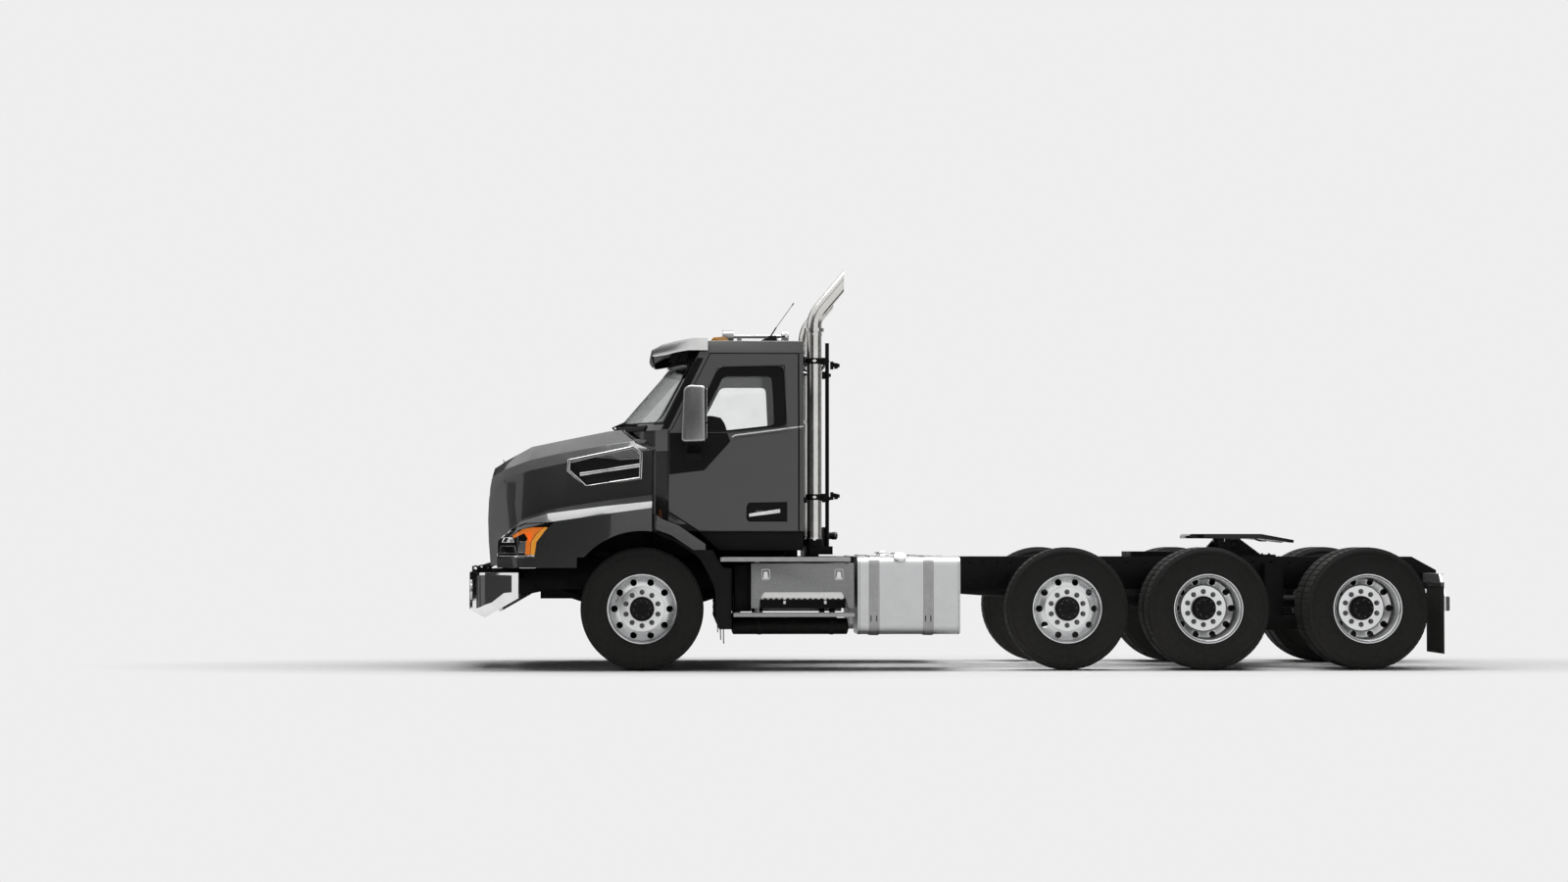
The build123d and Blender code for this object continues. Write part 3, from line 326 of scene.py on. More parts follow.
red = finish("red_lens", (0.45, 0.008, 0.006), 0.12, patch=30, patchiness=0.1, coat=1.0)
lamp_black = finish("lamp_housing", (0.012, 0.012, 0.013), 0.15, patch=9, patchiness=0.1, dust=0.05, coat=1.0)
polished = finish("polished_aluminium", (0.78, 0.785, 0.79), 0.27, metallic=1.0, patch=6, patchiness=0.05,
                  dust=0.05, dust_height=1.0)
glass = finish("tinted_glass", (0.95, 0.965, 0.96), 0.02, patchiness=0.04, dust=0.0, transmission=1.0)
# the windshield's glass: a darker copy of the side glass, painted shade on it
shade_painted_glass = finish("glass_with_painted_shade", (0.72, 0.735, 0.73), 0.02, patchiness=0.04, dust=0.0, transmission=1.0)
for pane_finish in (glass, shade_painted_glass):
    t = pane_finish.node_tree
    path = add(t, "ShaderNodeLightPath")
    clear = add(t, "ShaderNodeMapRange", ("Value", path.outputs["Is Shadow Ray"]), ("To Min", 1.0), ("To Max", 0.15))
    t.links.new(clear.outputs[0], surface_of(pane_finish)["Alpha"])

dress(["front_bumper"], bright_chrome, 0.004)
# horns in the darker chrome copy: painted shade
dress(["air_horns"], chrome_painted_darker, 0.004)
dress(["sun_visor"], satin, 0.005, crease=24, fold=12)
dress(["exhaust_stacks"], stack_steel, crease=40)
dress(["frame_rails", "crossmembers", "drive_suspension", "stack_rack", "air_tanks"], frame_paint, 0.003)
dress(["front_axle", "engine", "pusher_axle", "drive_axles", "tie_rod", "fifth_wheel_base", "fifth_wheel_plate",
       *both("knuckle")], cast)
dress(["cab_floor", "mudguards", "grille", "hood_vents"], trim, 0.003)
dress(["mud_flaps"], rubber)
dress(["step_boxes"], sheet, 0.003)
dress(["fuel_tanks", "flap_hangers"], tank)
dress(["dashboard"], inside, 0.01)
dress(["roof_lights"], amber, 0.004)
dress(["tail_lamps"], red, 0.004)
dress(["headlamps"], lamp_black)
dress(both("door_glass"), glass)
# the windshield in the darker copy of the glass: painted shade
dress(["cab_glass"], shade_painted_glass)

# ---- wheels and tyres ----------------------------------------------------
# Forged aluminium disc wheels, machined and polished, with ten hand holes and ten nuts. The
# steer wheels' discs stand outwards, the dual wheels' are dished. Radial tyres in five ribs.
middle_x, hub_z = 2736, 525


def at(x, y, z):
    """A point in millimetres from the front axle, given in the frame's metres."""
    return Vector(((x - middle_x) / 1000, y / 1000, z / 1000))


def piece(name, body, material, mesh, edge=0.0, sharp=35, segments=2):
    """One finished piece: its normals outwards, its creases kept, its edges rounded where edge is given."""
    data = bpy.data.meshes.new(name)
    if isinstance(mesh, bmesh.types.BMesh):
        bm = mesh
    else:
        bm = bmesh.new()
        points = [bm.verts.new(v) for v in mesh[0]]
        for ring in mesh[1]:
            bm.faces.new([points[i] for i in ring])
    bmesh.ops.remove_doubles(bm, verts=bm.verts, dist=1e-6)
    bmesh.ops.recalc_face_normals(bm, faces=bm.faces)
    bm.to_mesh(data)
    bm.free()
    data.shade_smooth()
    if not edge:
        data.set_sharp_from_angle(angle=math.radians(sharp))
    made = bpy.data.objects.new(name, data)
    link(made)
    data.materials.append(material)
    if edge:
        bevel = made.modifiers.new("edge", "BEVEL")
        bevel.width, bevel.segments = edge, segments
        bevel.limit_method = "ANGLE"
        bevel.angle_limit = math.radians(28)
        bevel.harden_normals = True
    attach(made, body)
    return made


def lathe(profile, steps, closed=False):
    """(radius, y) profile in millimetres turned about the y axis, as (points, faces) round the origin."""
    points, faces, rings = [], [], []
    for radius, y in profile:
        if radius:
            rings.append([len(points) + i for i in range(steps)])
            turns = [2 * math.pi * i / steps for i in range(steps)]
            points += [Vector((radius * math.cos(turn), y, radius * math.sin(turn))) / 1000 for turn in turns]
        else:
            rings.append([len(points)])
            points.append(Vector((0, y, 0)) / 1000)
    for a, b in zip(rings, rings[1:] + (rings[:1] if closed else [])):
        for i in range(steps):
            j = (i + 1) % steps
            ring = [a[i % len(a)], a[j % len(a)], b[j % len(b)], b[i % len(b)]]
            ring = [corner for k, corner in enumerate(ring) if corner not in ring[:k]]
            if len(ring) > 2:
                faces.append(ring)
    return points, faces


def placed(mesh, centre, flip=False):
    """The mesh moved to a centre, and turned over to face left where flip is true."""
    return [Vector((v.x, -v.y if flip else v.y, v.z)) + centre for v in mesh[0]], mesh[1]


def joined(*meshes):
    """Several meshes as one."""
    points, faces = [], []
    for more_points, more_faces in meshes:
        faces += [[len(points) + i for i in ring] for ring in more_faces]
        points += more_points
    return points, faces


tread_groove, tread_radius, tread_reach = 13, 525, 122
sidewall = [(280, 104), (284, 117), (294, 125), (299, 119), (303, 126), (312, 134), (335, 143), (352, 144.5),
            (356, 147), (372, 148), (400, 150), (430, 150), (452, 148.5), (457, 145.5), (478, 143), (482, 146),
            (495, 143), (508, 136), (514, 130), (tread_radius - tread_groove, 124)]
carcass = sidewall + [(radius, -y) for radius, y in reversed(sidewall)]
blocks = [(-122, -82), (-73, -32), (-23, 23), (32, 73), (82, 122)]


def copier(name, inputs, place):
    """Geometry nodes that set copies of a piece: place(tree, inputs, index) gives their spot, turn and last move."""
    made = bpy.data.node_groups.new(name, "GeometryNodeTree")
    face = made.interface
    face.new_socket("Geometry", in_out="INPUT", socket_type="NodeSocketGeometry")
    names = {}
    for label, kind in (("Count", "NodeSocketInt"), *inputs, ("Finish", "NodeSocketMaterial")):
        names[label] = face.new_socket(label, in_out="INPUT", socket_type=kind).identifier
    face.new_socket("Geometry", in_out="OUTPUT", socket_type="NodeSocketGeometry")
    start, end = add(made, "NodeGroupInput"), add(made, "NodeGroupOutput")
    out = start.outputs
    points = add(made, "GeometryNodePoints", ("Count", out["Count"]))
    spot, turn, move = place(made, out, add(made, "GeometryNodeInputIndex").outputs[0])
    spread = add(made, "GeometryNodeSetPosition", ("Geometry", points.outputs[0]), ("Position", spot))
    copies = add(made, "GeometryNodeInstanceOnPoints", ("Points", spread.outputs[0]), ("Instance", out["Geometry"]),
                 ("Rotation", turn))
    real = add(made, "GeometryNodeRealizeInstances", ("Geometry", copies.outputs[0]))
    moved = add(made, "GeometryNodeSetPosition", ("Geometry", real.outputs[0]), ("Offset", move))
    coated = add(made, "GeometryNodeSetMaterial", ("Geometry", moved.outputs[0]), ("Material", out["Finish"]))
    made.links.new(coated.outputs[0], end.inputs[0])
    return made, names


def round_axle(tree, out, index):
    """Each copy at its own angle round the y axis, then all moved to the axle."""
    step = add(tree, "ShaderNodeMath", (0, 2 * math.pi), (1, out["Count"]), operation="DIVIDE").outputs[0]
    first = out["First angle"]
    angle = add(tree, "ShaderNodeMath", (0, index), (1, step), (2, first), operation="MULTIPLY_ADD").outputs[0]
    back = add(tree, "ShaderNodeMath", (0, angle), (1, -1.0), operation="MULTIPLY").outputs[0]
    cosine = add(tree, "ShaderNodeMath", (0, angle), operation="COSINE").outputs[0]
    sine = add(tree, "ShaderNodeMath", (0, angle), operation="SINE").outputs[0]
    away = add(tree, "ShaderNodeCombineXYZ", ("X", cosine), ("Z", sine)).outputs[0]
    spot = add(tree, "ShaderNodeVectorMath", (0, away), ("Scale", out["Radius"]), operation="SCALE").outputs[0]
    return spot, add(tree, "ShaderNodeCombineXYZ", ("Y", back)).outputs[0], out["Centre"]


ring = copier("ring_of_pieces", (("Radius", "NodeSocketFloat"), ("First angle", "NodeSocketFloat"),
                                 ("Centre", "NodeSocketVector")), round_axle)


def repeated(name, body, slot, material, mesh, tree_and_inputs, edge=0.0, **values):
    """The piece repeated by a tree of geometry nodes, then made one plain mesh."""
    tree, inputs = tree_and_inputs
    made = piece(name, body, material, mesh)
    if edge:
        bevel = made.modifiers.new("edge", "BEVEL")
        bevel.width, bevel.segments = edge, 1
    copies = made.modifiers.new("copies", "NODES")
    copies.node_group = tree
    for label, value in values.items():
        copies[inputs[label.replace("_", " ").capitalize()]] = value
    copies[inputs["Finish"]] = material
    made.update_tag()
    plain = bpy.data.meshes.new_from_object(made.evaluated_get(bpy.context.evaluated_depsgraph_get()))
    made.modifiers.clear()
    made.data = plain
    return made


def brick(x, y, z):
    """Box between the (low, high) pairs of its three directions, in millimetres round the origin."""
    points = [Vector((x[i], y[j], z[k])) / 1000 for i in (0, 1) for j in (0, 1) for k in (0, 1)]
    return points, [(0, 1, 3, 2), (4, 6, 7, 5), (0, 4, 5, 1), (2, 3, 7, 6), (0, 2, 6, 4), (1, 5, 7, 3)]


steer_rim = [(268, -104), (283, -112), (301, -118), (301, 118), (296, 126), (288, 124), (283, 112), (268, 100),
             (268, 58), (258, 66), (250, 72), (205, 92), (194, 98), (192, 103), (188, 104), (110, 104), (96, 104),
             (96, 90), (188, 88), (205, 76), (250, 56), (262, 44), (268, 30)]
dual_rim = [(268, -280), (283, -288), (301, -294), (301, -70), (286, -62), (286, 40), (301, 48), (301, 283),
            (296, 291), (288, 289), (283, 277), (268, 265), (266, 66), (258, 52), (250, 45), (205, 24), (194, 16),
            (110, 14), (96, 14), (96, -2), (190, -2), (205, 6), (250, 28), (262, 30), (268, 20), (268, -40)]
steer_cap = [(0, 195), (60, 195), (66, 193), (78, 190), (84, 182), (88, 150), (92, 146), (100, 146), (104, 142),
             (104, 104), (96, 90), (0, 90)]
dual_cap = [(0, 150), (34, 150), (38, 144), (70, 142), (78, 136), (82, 96), (88, 60), (98, 56), (104, 50), (104, 14),
            (96, 0), (0, 0)]
drum_form = [(120, -14), (196, -14), (205, -24), (205, -150), (212, -154), (212, -166), (196, -170), (190, -166),
             (188, -40), (120, -36)]
nut_form = [(13, 0), (24, 0), (24, 6), (17, 10), (17, 26), (14, 32), (0, 33)]


def holed(mesh, depth, radius=235, bore=29, count=10):
    """The wheel with its hand holes cut, each by a round cutter between two depths."""
    low, high = depth
    cutter = lathe([(0, low), (bore, low), (bore, high), (0, high)], 20)
    turns = [2 * math.pi * step / count for step in range(count)]
    cutters = joined(*[placed(cutter, Vector((math.cos(turn), 0, math.sin(turn))) * radius / 1000) for turn in turns])
    disc, tool = [bpy.data.objects.new(name, bpy.data.meshes.new(name)) for name in ("disc", "cutters")]
    disc.data.from_pydata(mesh[0], [], mesh[1])
    tool.data.from_pydata(cutters[0], [], cutters[1])
    for item in (disc, tool):
        bm = bmesh.new()
        bm.from_mesh(item.data)
        bmesh.ops.recalc_face_normals(bm, faces=bm.faces)
        bm.to_mesh(item.data)
        bm.free()
        link(item)
    cut = disc.modifiers.new("holes", "BOOLEAN")
    cut.object, cut.operation, cut.solver = tool, "DIFFERENCE", "EXACT"
    plain = bpy.data.meshes.new_from_object(disc.evaluated_get(bpy.context.evaluated_depsgraph_get()))
    result = [v.co.copy() for v in plain.vertices], [tuple(face.vertices) for face in plain.polygons]
    for item in (disc, tool):
        bpy.data.objects.remove(item)
    return result


steer_disc = holed(lathe(steer_rim, 80, closed=True), (20, 140))
dual_disc = holed(lathe(dual_rim, 80, closed=True), (-20, 90))
# what a steer and a dual wheel carry: disc, hub cap, drum face, nut seat, hub face, tyre middles
steer_set = (steer_disc, steer_cap, 100, 104, steer_cap[2][1], (0,))
dual_set = (dual_disc, dual_cap, 0, 14, 141, (-165, 165))
axles = (("front", 0, 1030, steer_set), ("pusher", 3631, 1030, steer_set), ("drive_1", 4836, 915, dual_set),
         ("drive_2", 6205, 915, dual_set))
for axle, axle_x, wheel_y, (disc, cap, face, seat, crown, tyres) in axles:
    for side, sign in sides:
        body = f"{axle}_wheel_{side}"
        flip = sign < 0
        centre = at(axle_x, sign * wheel_y, hub_z)
        carcasses = [placed(lathe([(radius, y + middle) for radius, y in carcass], 96), centre, flip)
                     for middle in tyres]
        case = piece(f"tyre_case_{axle}_{side}", body, rubber, joined(*carcasses))
        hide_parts(f"tyre_{axle}_{side}")
        treads = []
        for middle in tyres:
            for low, high in blocks:
                lean = 5 if low + high > 0 else -5
                across = sign * (middle + low), sign * (middle + high)
                points, faces = brick((tread_radius - 20, tread_radius), across, (-25, 25))
                for v in points:
                    drop = (abs(v.y * 1000 * sign - middle) / tread_reach) ** 4 * 4
                    v.x -= drop / 1000 if v.x > 0.51 else 0
                    v.z += lean * (v.y * 1000 * sign - middle) / 100000
                treads.append((points, faces))
        repeated(f"tread_{axle}_{side}", body, "tyre", rubber, joined(*treads), ring, edge=0.0025,
                 count=60, radius=0.0, first_angle=0.0, centre=centre)
        rim = piece(f"rim_{axle}_{side}", body, polished, placed(disc, centre, flip), sharp=30)
        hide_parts(f"wheel_{axle}_{side}")
        drum = lathe([(radius, y + face) for radius, y in drum_form], 64, closed=True)
        piece(f"drum_{axle}_{side}", body, cast, placed(drum, centre, flip))
        piece(f"hub_{axle}_{side}", body, trim, placed(lathe(cap, 48), centre, flip))
        screw = lathe([(0, crown - 5), (7, crown - 5), (7, crown + 4), (5, crown + 6), (0, crown + 6)], 6)
        repeated(f"hub_screws_{axle}_{side}", body, "chrome", nut_steel, placed(screw, Vector(), flip), ring,
                 count=8, radius=0.07, first_angle=0.1, centre=centre)
        top = cap[1][1]
        lid_form = [(30, top - 2), (30, top + 5), (34, top + 7), (44, top + 7), (48, top + 4), (48, top - 2)]
        lid = lathe(lid_form, 40, closed=True)
        piece(f"hub_lid_{axle}_{side}", body, cast, placed(lid, centre, flip))
        nut = lathe([(radius, y + seat) for radius, y in nut_form], 6)
        repeated(f"nuts_{axle}_{side}", body, "chrome", nut_steel, placed(nut, Vector(), flip), ring,
                 count=10, radius=0.143, first_angle=math.radians(18), centre=centre)

# ---- bumper --------------------------------------------------------------
# A chromed steel bumper with a grey painted panel let into each end and a fog lamp in each
# pocket, its lens behind a chromed bezel. It is bolted to the rail horns.
bumper_plan = [(-1508, 480), (-1450, 960), (-1380, 1150), (-1330, 1200), (-1048, 1200)]


def along(table, x):
    """Value of a table of (x, value) rows at x, on straight runs."""
    for (x0, v0), (x1, v1) in zip(table, table[1:]):
        if x <= x1:
            return v0 + (v1 - v0) * (x - x0) / (x1 - x0)
    return table[-1][1]


def lofted(rings, ends=True):
    """A skin through rings of as many points, closed at both ends."""
    count = len(rings[0])
    points = [point for ring in rings for point in ring]
    faces = []
    for k in range(len(rings) - 1):
        a, b = count * k, count * (k + 1)
        faces += [(a + j, a + (j + 1) % count, b + (j + 1) % count, b + j) for j in range(count)]
    if ends:
        faces += [tuple(range(count)), tuple(reversed(range(count * (len(rings) - 1), count * len(rings))))]
    return points, faces


def ribbon(stations, place, thick):
    """A sheet from (x, low z, high z) stations set on the face that place(x, z) gives, raised by its thickness."""
    return lofted([[place(x, z, lift) for z, lift in ((low, 0), (high, 0), (high, thick), (low, thick))]
                   for x, low, high in stations])


def facing(mesh, way, spot):
    """A turned form with its axis laid to the front, to the rear or up, at a spot."""
    laid_down = {"front": lambda v: (-v.y, v.x, v.z), "rear": lambda v: (v.y, v.x, v.z),
                 "up": lambda v: (v.x, v.z, v.y)}[way]
    return [Vector(laid_down(v)) + spot for v in mesh[0]], mesh[1]


for side, sign in sides:
    stations = [(-1411, 530, 806), (-1380, 540, 812), (-1330, 562, 815), (-1272, 582, 815), (-1170, 662, 815),
                (-1104, 668, 812)]
    panel = ribbon(stations, lambda x, z, lift: at(x, sign * (along(bumper_plan, x) + lift - 1), z), 5)
    piece(f"bumper_panel_{side}", "chassis", paint, panel, edge=0.002)
    bezel = lathe([(58, 0), (76, 0), (80, 6), (80, 22), (70, 26), (64, 20), (58, 8)], 40, closed=True)
    lamp = lathe([(0, 10), (40, 12), (58, 4), (58, 0), (0, 0)], 40)
    pocket = at(-1457, sign * 700, 672)
    piece(f"fog_bezel_{side}", "chassis", chrome, facing(bezel, "front", pocket))
    piece(f"fog_lens_{side}", "chassis", lamp_black, facing(lamp, "front", pocket))

# ---- hood trim -----------------------------------------------------------
# Chromed zinc rims and blades round the side vents with black mesh behind them, and amber
# light guides, reflectors and chrome trim in the headlamps. All are clipped to the hood.
def tree_of(*names):
    """A search tree of the faces of CAD nodes."""
    points, faces = [], []
    for name in names:
        data = nodes[name].data
        faces += [[len(points) + i for i in face.vertices] for face in data.polygons]
        points += [v.co.copy() for v in data.vertices]
    return BVHTree.FromPolygons(points, faces)


def skin_of(*names):
    """Finds the outermost point and normal of CAD nodes at a side view (x, z), seen from the left or the right."""
    tree = tree_of(*names)

    def find(x, z, sign):
        start = at(x, sign * 2000, z)
        hit, normal, _, _ = tree.ray_cast(start, Vector((0, -sign, 0)))
        if hit is None:
            hit, normal, _, _ = tree.find_nearest(at(x, sign * 1000, z))
        if normal.y * sign < 0:
            normal = -normal
        return hit, normal

    return find


def bead(line, width, height, closed=False, sink=2.0, bow=0.6):
    """A strip along (point, outward normal) pairs, in millimetres wide and high, with its top edges eased."""
    count = len(line)
    half = [(0.5, -sink), (0.5, height * 0.55), (0.5 * bow, height)]
    section = [(-u, h) for u, h in half] + half[::-1]
    rings = []
    for k, (spot, normal) in enumerate(line):
        before = line[k - 1][0] if k or closed else spot
        after = line[(k + 1) % count][0] if k < count - 1 or closed else spot
        ahead, behind = (after - spot), (spot - before)
        ahead = ahead.normalized() if ahead.length else behind.normalized()
        behind = behind.normalized() if behind.length else ahead
        run = (ahead + behind).normalized()
        across = run.cross(normal).normalized()
        mitre = 1 / max(0.5, run.dot(ahead))
        rings.append([spot + across * (u * width * mitre / 1000) + normal * (h / 1000) for u, h in section])
    return lofted(rings + rings[:1], ends=False) if closed else lofted(rings)


def by_pitch(pitch):
    """Says into how many parts of about that length a run goes."""
    return lambda across, up: max(1, round(math.hypot(across, up) / pitch))


def divided(outline, parts_of, closed=True):
    """The points of an outline, its runs divided."""
    line = []
    for (x0, z0), (x1, z1) in zip(outline, outline[1:] + (outline[:1] if closed else [])):
        parts = parts_of(x1 - x0, z1 - z0)
        line += [(x0 + (x1 - x0) * k / parts, z0 + (z1 - z0) * k / parts) for k in range(parts)]
    return line if closed else line + [outline[-1]]


def traced(outline, skin, sign, closed=True, lift=0.0):
    """A side view outline laid on the skin as (point, normal) pairs, its long runs divided."""
    found = [skin(x, z, sign) for x, z in divided(outline, by_pitch(40), closed)]
    return [(hit + normal * lift / 1000, normal) for hit, normal in found]


def laid(spots, normal):
    """Points that share one normal, as (point, normal) pairs."""
    return [(spot, Vector(normal)) for spot in spots]


def patch(outline, skin, sign, thick, lift=0.0, cuts=2):
    """A plate with a side view outline that lies on the skin, in millimetres thick."""
    bm = bmesh.new()
    bm.faces.new([bm.verts.new((x, 0, z)) for x, z in outline])
    bmesh.ops.triangulate(bm, faces=bm.faces)
    bmesh.ops.subdivide_edges(bm, edges=bm.edges, cuts=cuts, use_grid_fill=True)
    bmesh.ops.triangulate(bm, faces=bm.faces)
    rim = [e for e in bm.edges if len(e.link_faces) == 1]
    lows, highs, index = [], [], {}
    for v in bm.verts:
        hit, normal = skin(v.co.x, v.co.z, sign)
        index[v] = len(lows)
        lows.append(hit + normal * (lift - 1) / 1000)
        highs.append(hit + normal * (lift + thick) / 1000)
    count = len(lows)
    faces = [[index[v] for v in f.verts] for f in bm.faces]
    faces += [[count + k for k in reversed(f)] for f in faces]
    for e in rim:
        a, b = (index[v] for v in e.verts)
        faces.append([a, b, count + b, count + a])
    bm.free()
    return lows + highs, faces


screen = finish("black_mesh", (0.012, 0.012, 0.013), 0.5, patch=5, patchiness=0.1, specular=0.15)
t = screen.node_tree
spot = add(t, "ShaderNodeTexCoord").outputs["Object"]
wires = []
for turn in (45, -45):
    drawn = add(t, "ShaderNodeMapping", ("Vector", spot), ("Rotation", (0, math.radians(turn), 0)))
    wires.append(add(t, "ShaderNodeTexWave", ("Vector", drawn.outputs[0]), ("Scale", 24.0), bands_direction="X"))
holes = add(t, "ShaderNodeMath", (0, wires[0].outputs["Fac"]), (1, wires[1].outputs["Fac"]), operation="MULTIPLY")
relief = add(t, "ShaderNodeBump", ("Height", holes.outputs[0]), ("Distance", 0.003), ("Strength", 1.0))
t.links.new(relief.outputs[0], surface_of(screen)["Normal"])

hood_skin, lamp_skin, cab_skin = skin_of("hood"), skin_of("headlamps"), skin_of("cab_front")
vent_rim = [(-633, 1797), (-80, 1909), (-10, 1853), (-18, 1642), (-486, 1572), (-640, 1712)]
vent_blade = [(-540, 1678), (-18, 1756)]
vent_brow = [(-633, 1797), (-80, 1909), (-10, 1853), (-12, 1812), (-190, 1801), (-286, 1846), (-420, 1822),
             (-610, 1776)]
vent_hole = [(-612, 1772), (-70, 1880), (-32, 1838), (-38, 1664), (-484, 1596), (-612, 1714)]
guide_top = [(-1104, 1148), (-1013, 1203), (-929, 1219), (-838, 1219), (-905, 1165), (-950, 1092), (-955, 986),
             (-993, 986), (-988, 1095), (-940, 1180), (-1005, 1171), (-1089, 1129)]
guide_leg = [(-832, 1219), (-803, 1219), (-898, 1095), (-914, 986), (-948, 986), (-942, 1092), (-897, 1163)]
lamp_low = [(-1262, 968), (-912, 972)]
lamp_front = [(-1258, 975), (-1216, 1090), (-1130, 1180)]
amber_glow = finish("amber_guide", (0.95, 0.36, 0.02), 0.15, patch=30, patchiness=0.1, dust=0.0, coat=1.0)
dull_amber = finish("marker_lens", (0.28, 0.09, 0.04), 0.3, patch=30)
orange_glow = finish("orange_guide", (0.85, 0.2, 0.02), 0.15, patch=30, patchiness=0.1, dust=0.0, coat=1.0)
for lens, hue in ((amber_glow, (1.0, 0.42, 0.08, 1)), (orange_glow, (1.0, 0.25, 0.04, 1))):
    surface_of(lens, Emission_Color=hue, Emission_Strength=0.38)


def flat_through(skin, corners):
    """A flat in place of a cut-out in the skin, through three points (x, z) of what is left of it."""
    def find(x, z, sign):
        spots = [skin(u, v, sign)[0] for u, v in corners]
        normal = (spots[1] - spots[0]).cross(spots[2] - spots[0]).normalized()
        if normal.y * sign < 0:
            normal = -normal
        reach = (spots[0] - at(x, 0, z)).dot(normal) / normal.y
        return at(x, reach * 1000, z), normal
    return find


vent_flat = flat_through(hood_skin, [(-665, 1720), (-60, 1600), (-10, 1870)])
mesh_skin = skin_of("hood_vents")
for side, sign in sides:
    piece(f"vent_rim_{side}", "hood", satin, bead(traced(vent_rim, vent_flat, sign), 22, 7, closed=True))
    piece(f"vent_blade_{side}", "hood", satin, bead(traced(vent_blade, vent_flat, sign, False, -5), 30, 8))
    piece(f"vent_brow_{side}", "hood", satin, patch(vent_brow, vent_flat, sign, 3, cuts=1), edge=0.002)
    piece(f"vent_mesh_{side}", "hood", screen, patch(vent_hole, mesh_skin, sign, 1, cuts=4))
    piece(f"light_guide_{side}", "hood", orange_glow, patch(guide_top, lamp_skin, sign, 7))
    piece(f"light_leg_{side}", "hood", amber_glow, patch(guide_leg, lamp_skin, sign, 8))
    piece(f"lamp_sill_{side}", "hood", chrome, bead(traced(lamp_low, hood_skin, sign, False), 16, 6))
    piece(f"lamp_edge_{side}", "hood", chrome, bead(traced(lamp_front, hood_skin, sign, False), 12, 5))
    for k, (x, z, wide, tall) in enumerate(((-1150, 1030, 150, 62), (-1010, 1050, 90, 96), (-1145, 1112, 110, 44))):
        left, right, low, high = x - wide / 2, x + wide / 2, z - tall / 2, z + tall / 2
        shade = [(left, low), (right, low), (right - 8, high), (left + 14, high)]
        shade = patch(shade, lamp_skin, sign, 3, lift=1, cuts=1)
        piece(f"reflector_{k}_{side}", "hood", satin if k else chrome, shade, edge=0.004)
    marker = [(142, 1296), (166, 1296), (166, 1364), (158, 1372), (142, 1368)]
    marker_lens = patch(marker, cab_skin, sign, 9, cuts=1)
    piece(f"side_marker_{side}", "chassis", dull_amber, marker_lens, edge=0.003)

# ---- cab trim ------------------------------------------------------------
# Black moulded covers on the pillars and the mirror's foot, rubber in the seams, a pressed
# belt moulding, and chromed handles in black cups. All are clipped to the doors and the cab.
door_skins = {side: skin_of(f"door_{side}") for side, sign in sides}
wall_skin = skin_of("cab_back", "cab_front")
mirror_foot = [(231, 2028), (725, 2028), (753, 1955), (530, 1708), (231, 1672)]
pillar = [(166, 2060), (250, 2060), (574, 2708), (596, 2742), (492, 2742), (482, 2704)]
belt = [(770, 1982), (800, 1998), (1332, 2066)]
window_outer = [(385, 2030), (650, 2600), (1215, 2612), (1240, 2080), (730, 2030)]
window_inner = [(452, 2052), (690, 2520), (1112, 2520), (1134, 2092), (722, 2046)]
cup = [(893, 1292), (893, 1400), (911, 1428), (1236, 1434), (1236, 1272), (912, 1272)]
grip = [(908, 1308), (908, 1337), (1180, 1379), (1180, 1343)]
corner_cover = [(462, 2040), (470, 2150), (520, 2176), (600, 2174), (672, 2158), (706, 2104), (724, 2044)]
door_edge = [(226, 1345), (226, 2026), (256, 2062), (576, 2712), (1337, 2712), (1337, 1186), (486, 1186)]
belt_z = 2050


def side_y(z):
    """Half the width of the cab above its belt, where its sides lean in."""
    return 1075 - (z - belt_z) * 75 / 676


def greenhouse(x, z, sign, depth):
    """A point on the sloping side of the cab above its belt, some millimetres inside the skin."""
    return at(x, sign * (side_y(z) - depth), z)


def rounded(outline, radius, steps=4):
    """The outline with its corners turned to arcs, in the outline's own units."""
    result = []
    count = len(outline)
    for k, corner in enumerate(outline):
        here = Vector(corner)
        before, after = Vector(outline[k - 1]) - here, Vector(outline[(k + 1) % count]) - here
        reach = min(radius, before.length * 0.45, after.length * 0.45)
        start, end = here + before.normalized() * reach, here + after.normalized() * reach
        for step in range(steps + 1):
            u = step / steps
            result.append(tuple(start * (1 - u) ** 2 + here * 2 * u * (1 - u) + end * u ** 2))
    return result


def tab(left, right, low, high, radius):
    """A rectangle with rounded corners."""
    return rounded([(left, low), (left, high), (right, high), (right, low)], radius)


def ring_plate(outer, inner, place, thick):
    """A flat frame between two outlines of as many corners."""
    return lofted([[place(x, z, lift) for x, z in loop] for loop, lift in
                   ((outer, 0), (inner, 0), (inner, thick), (outer, thick), (outer, 0))], ends=False)


def slab(outline, low, high):
    """A side view outline between two y, in millimetres."""
    return lofted([[at(x, y, z) for x, z in outline] for y in (low, high)])


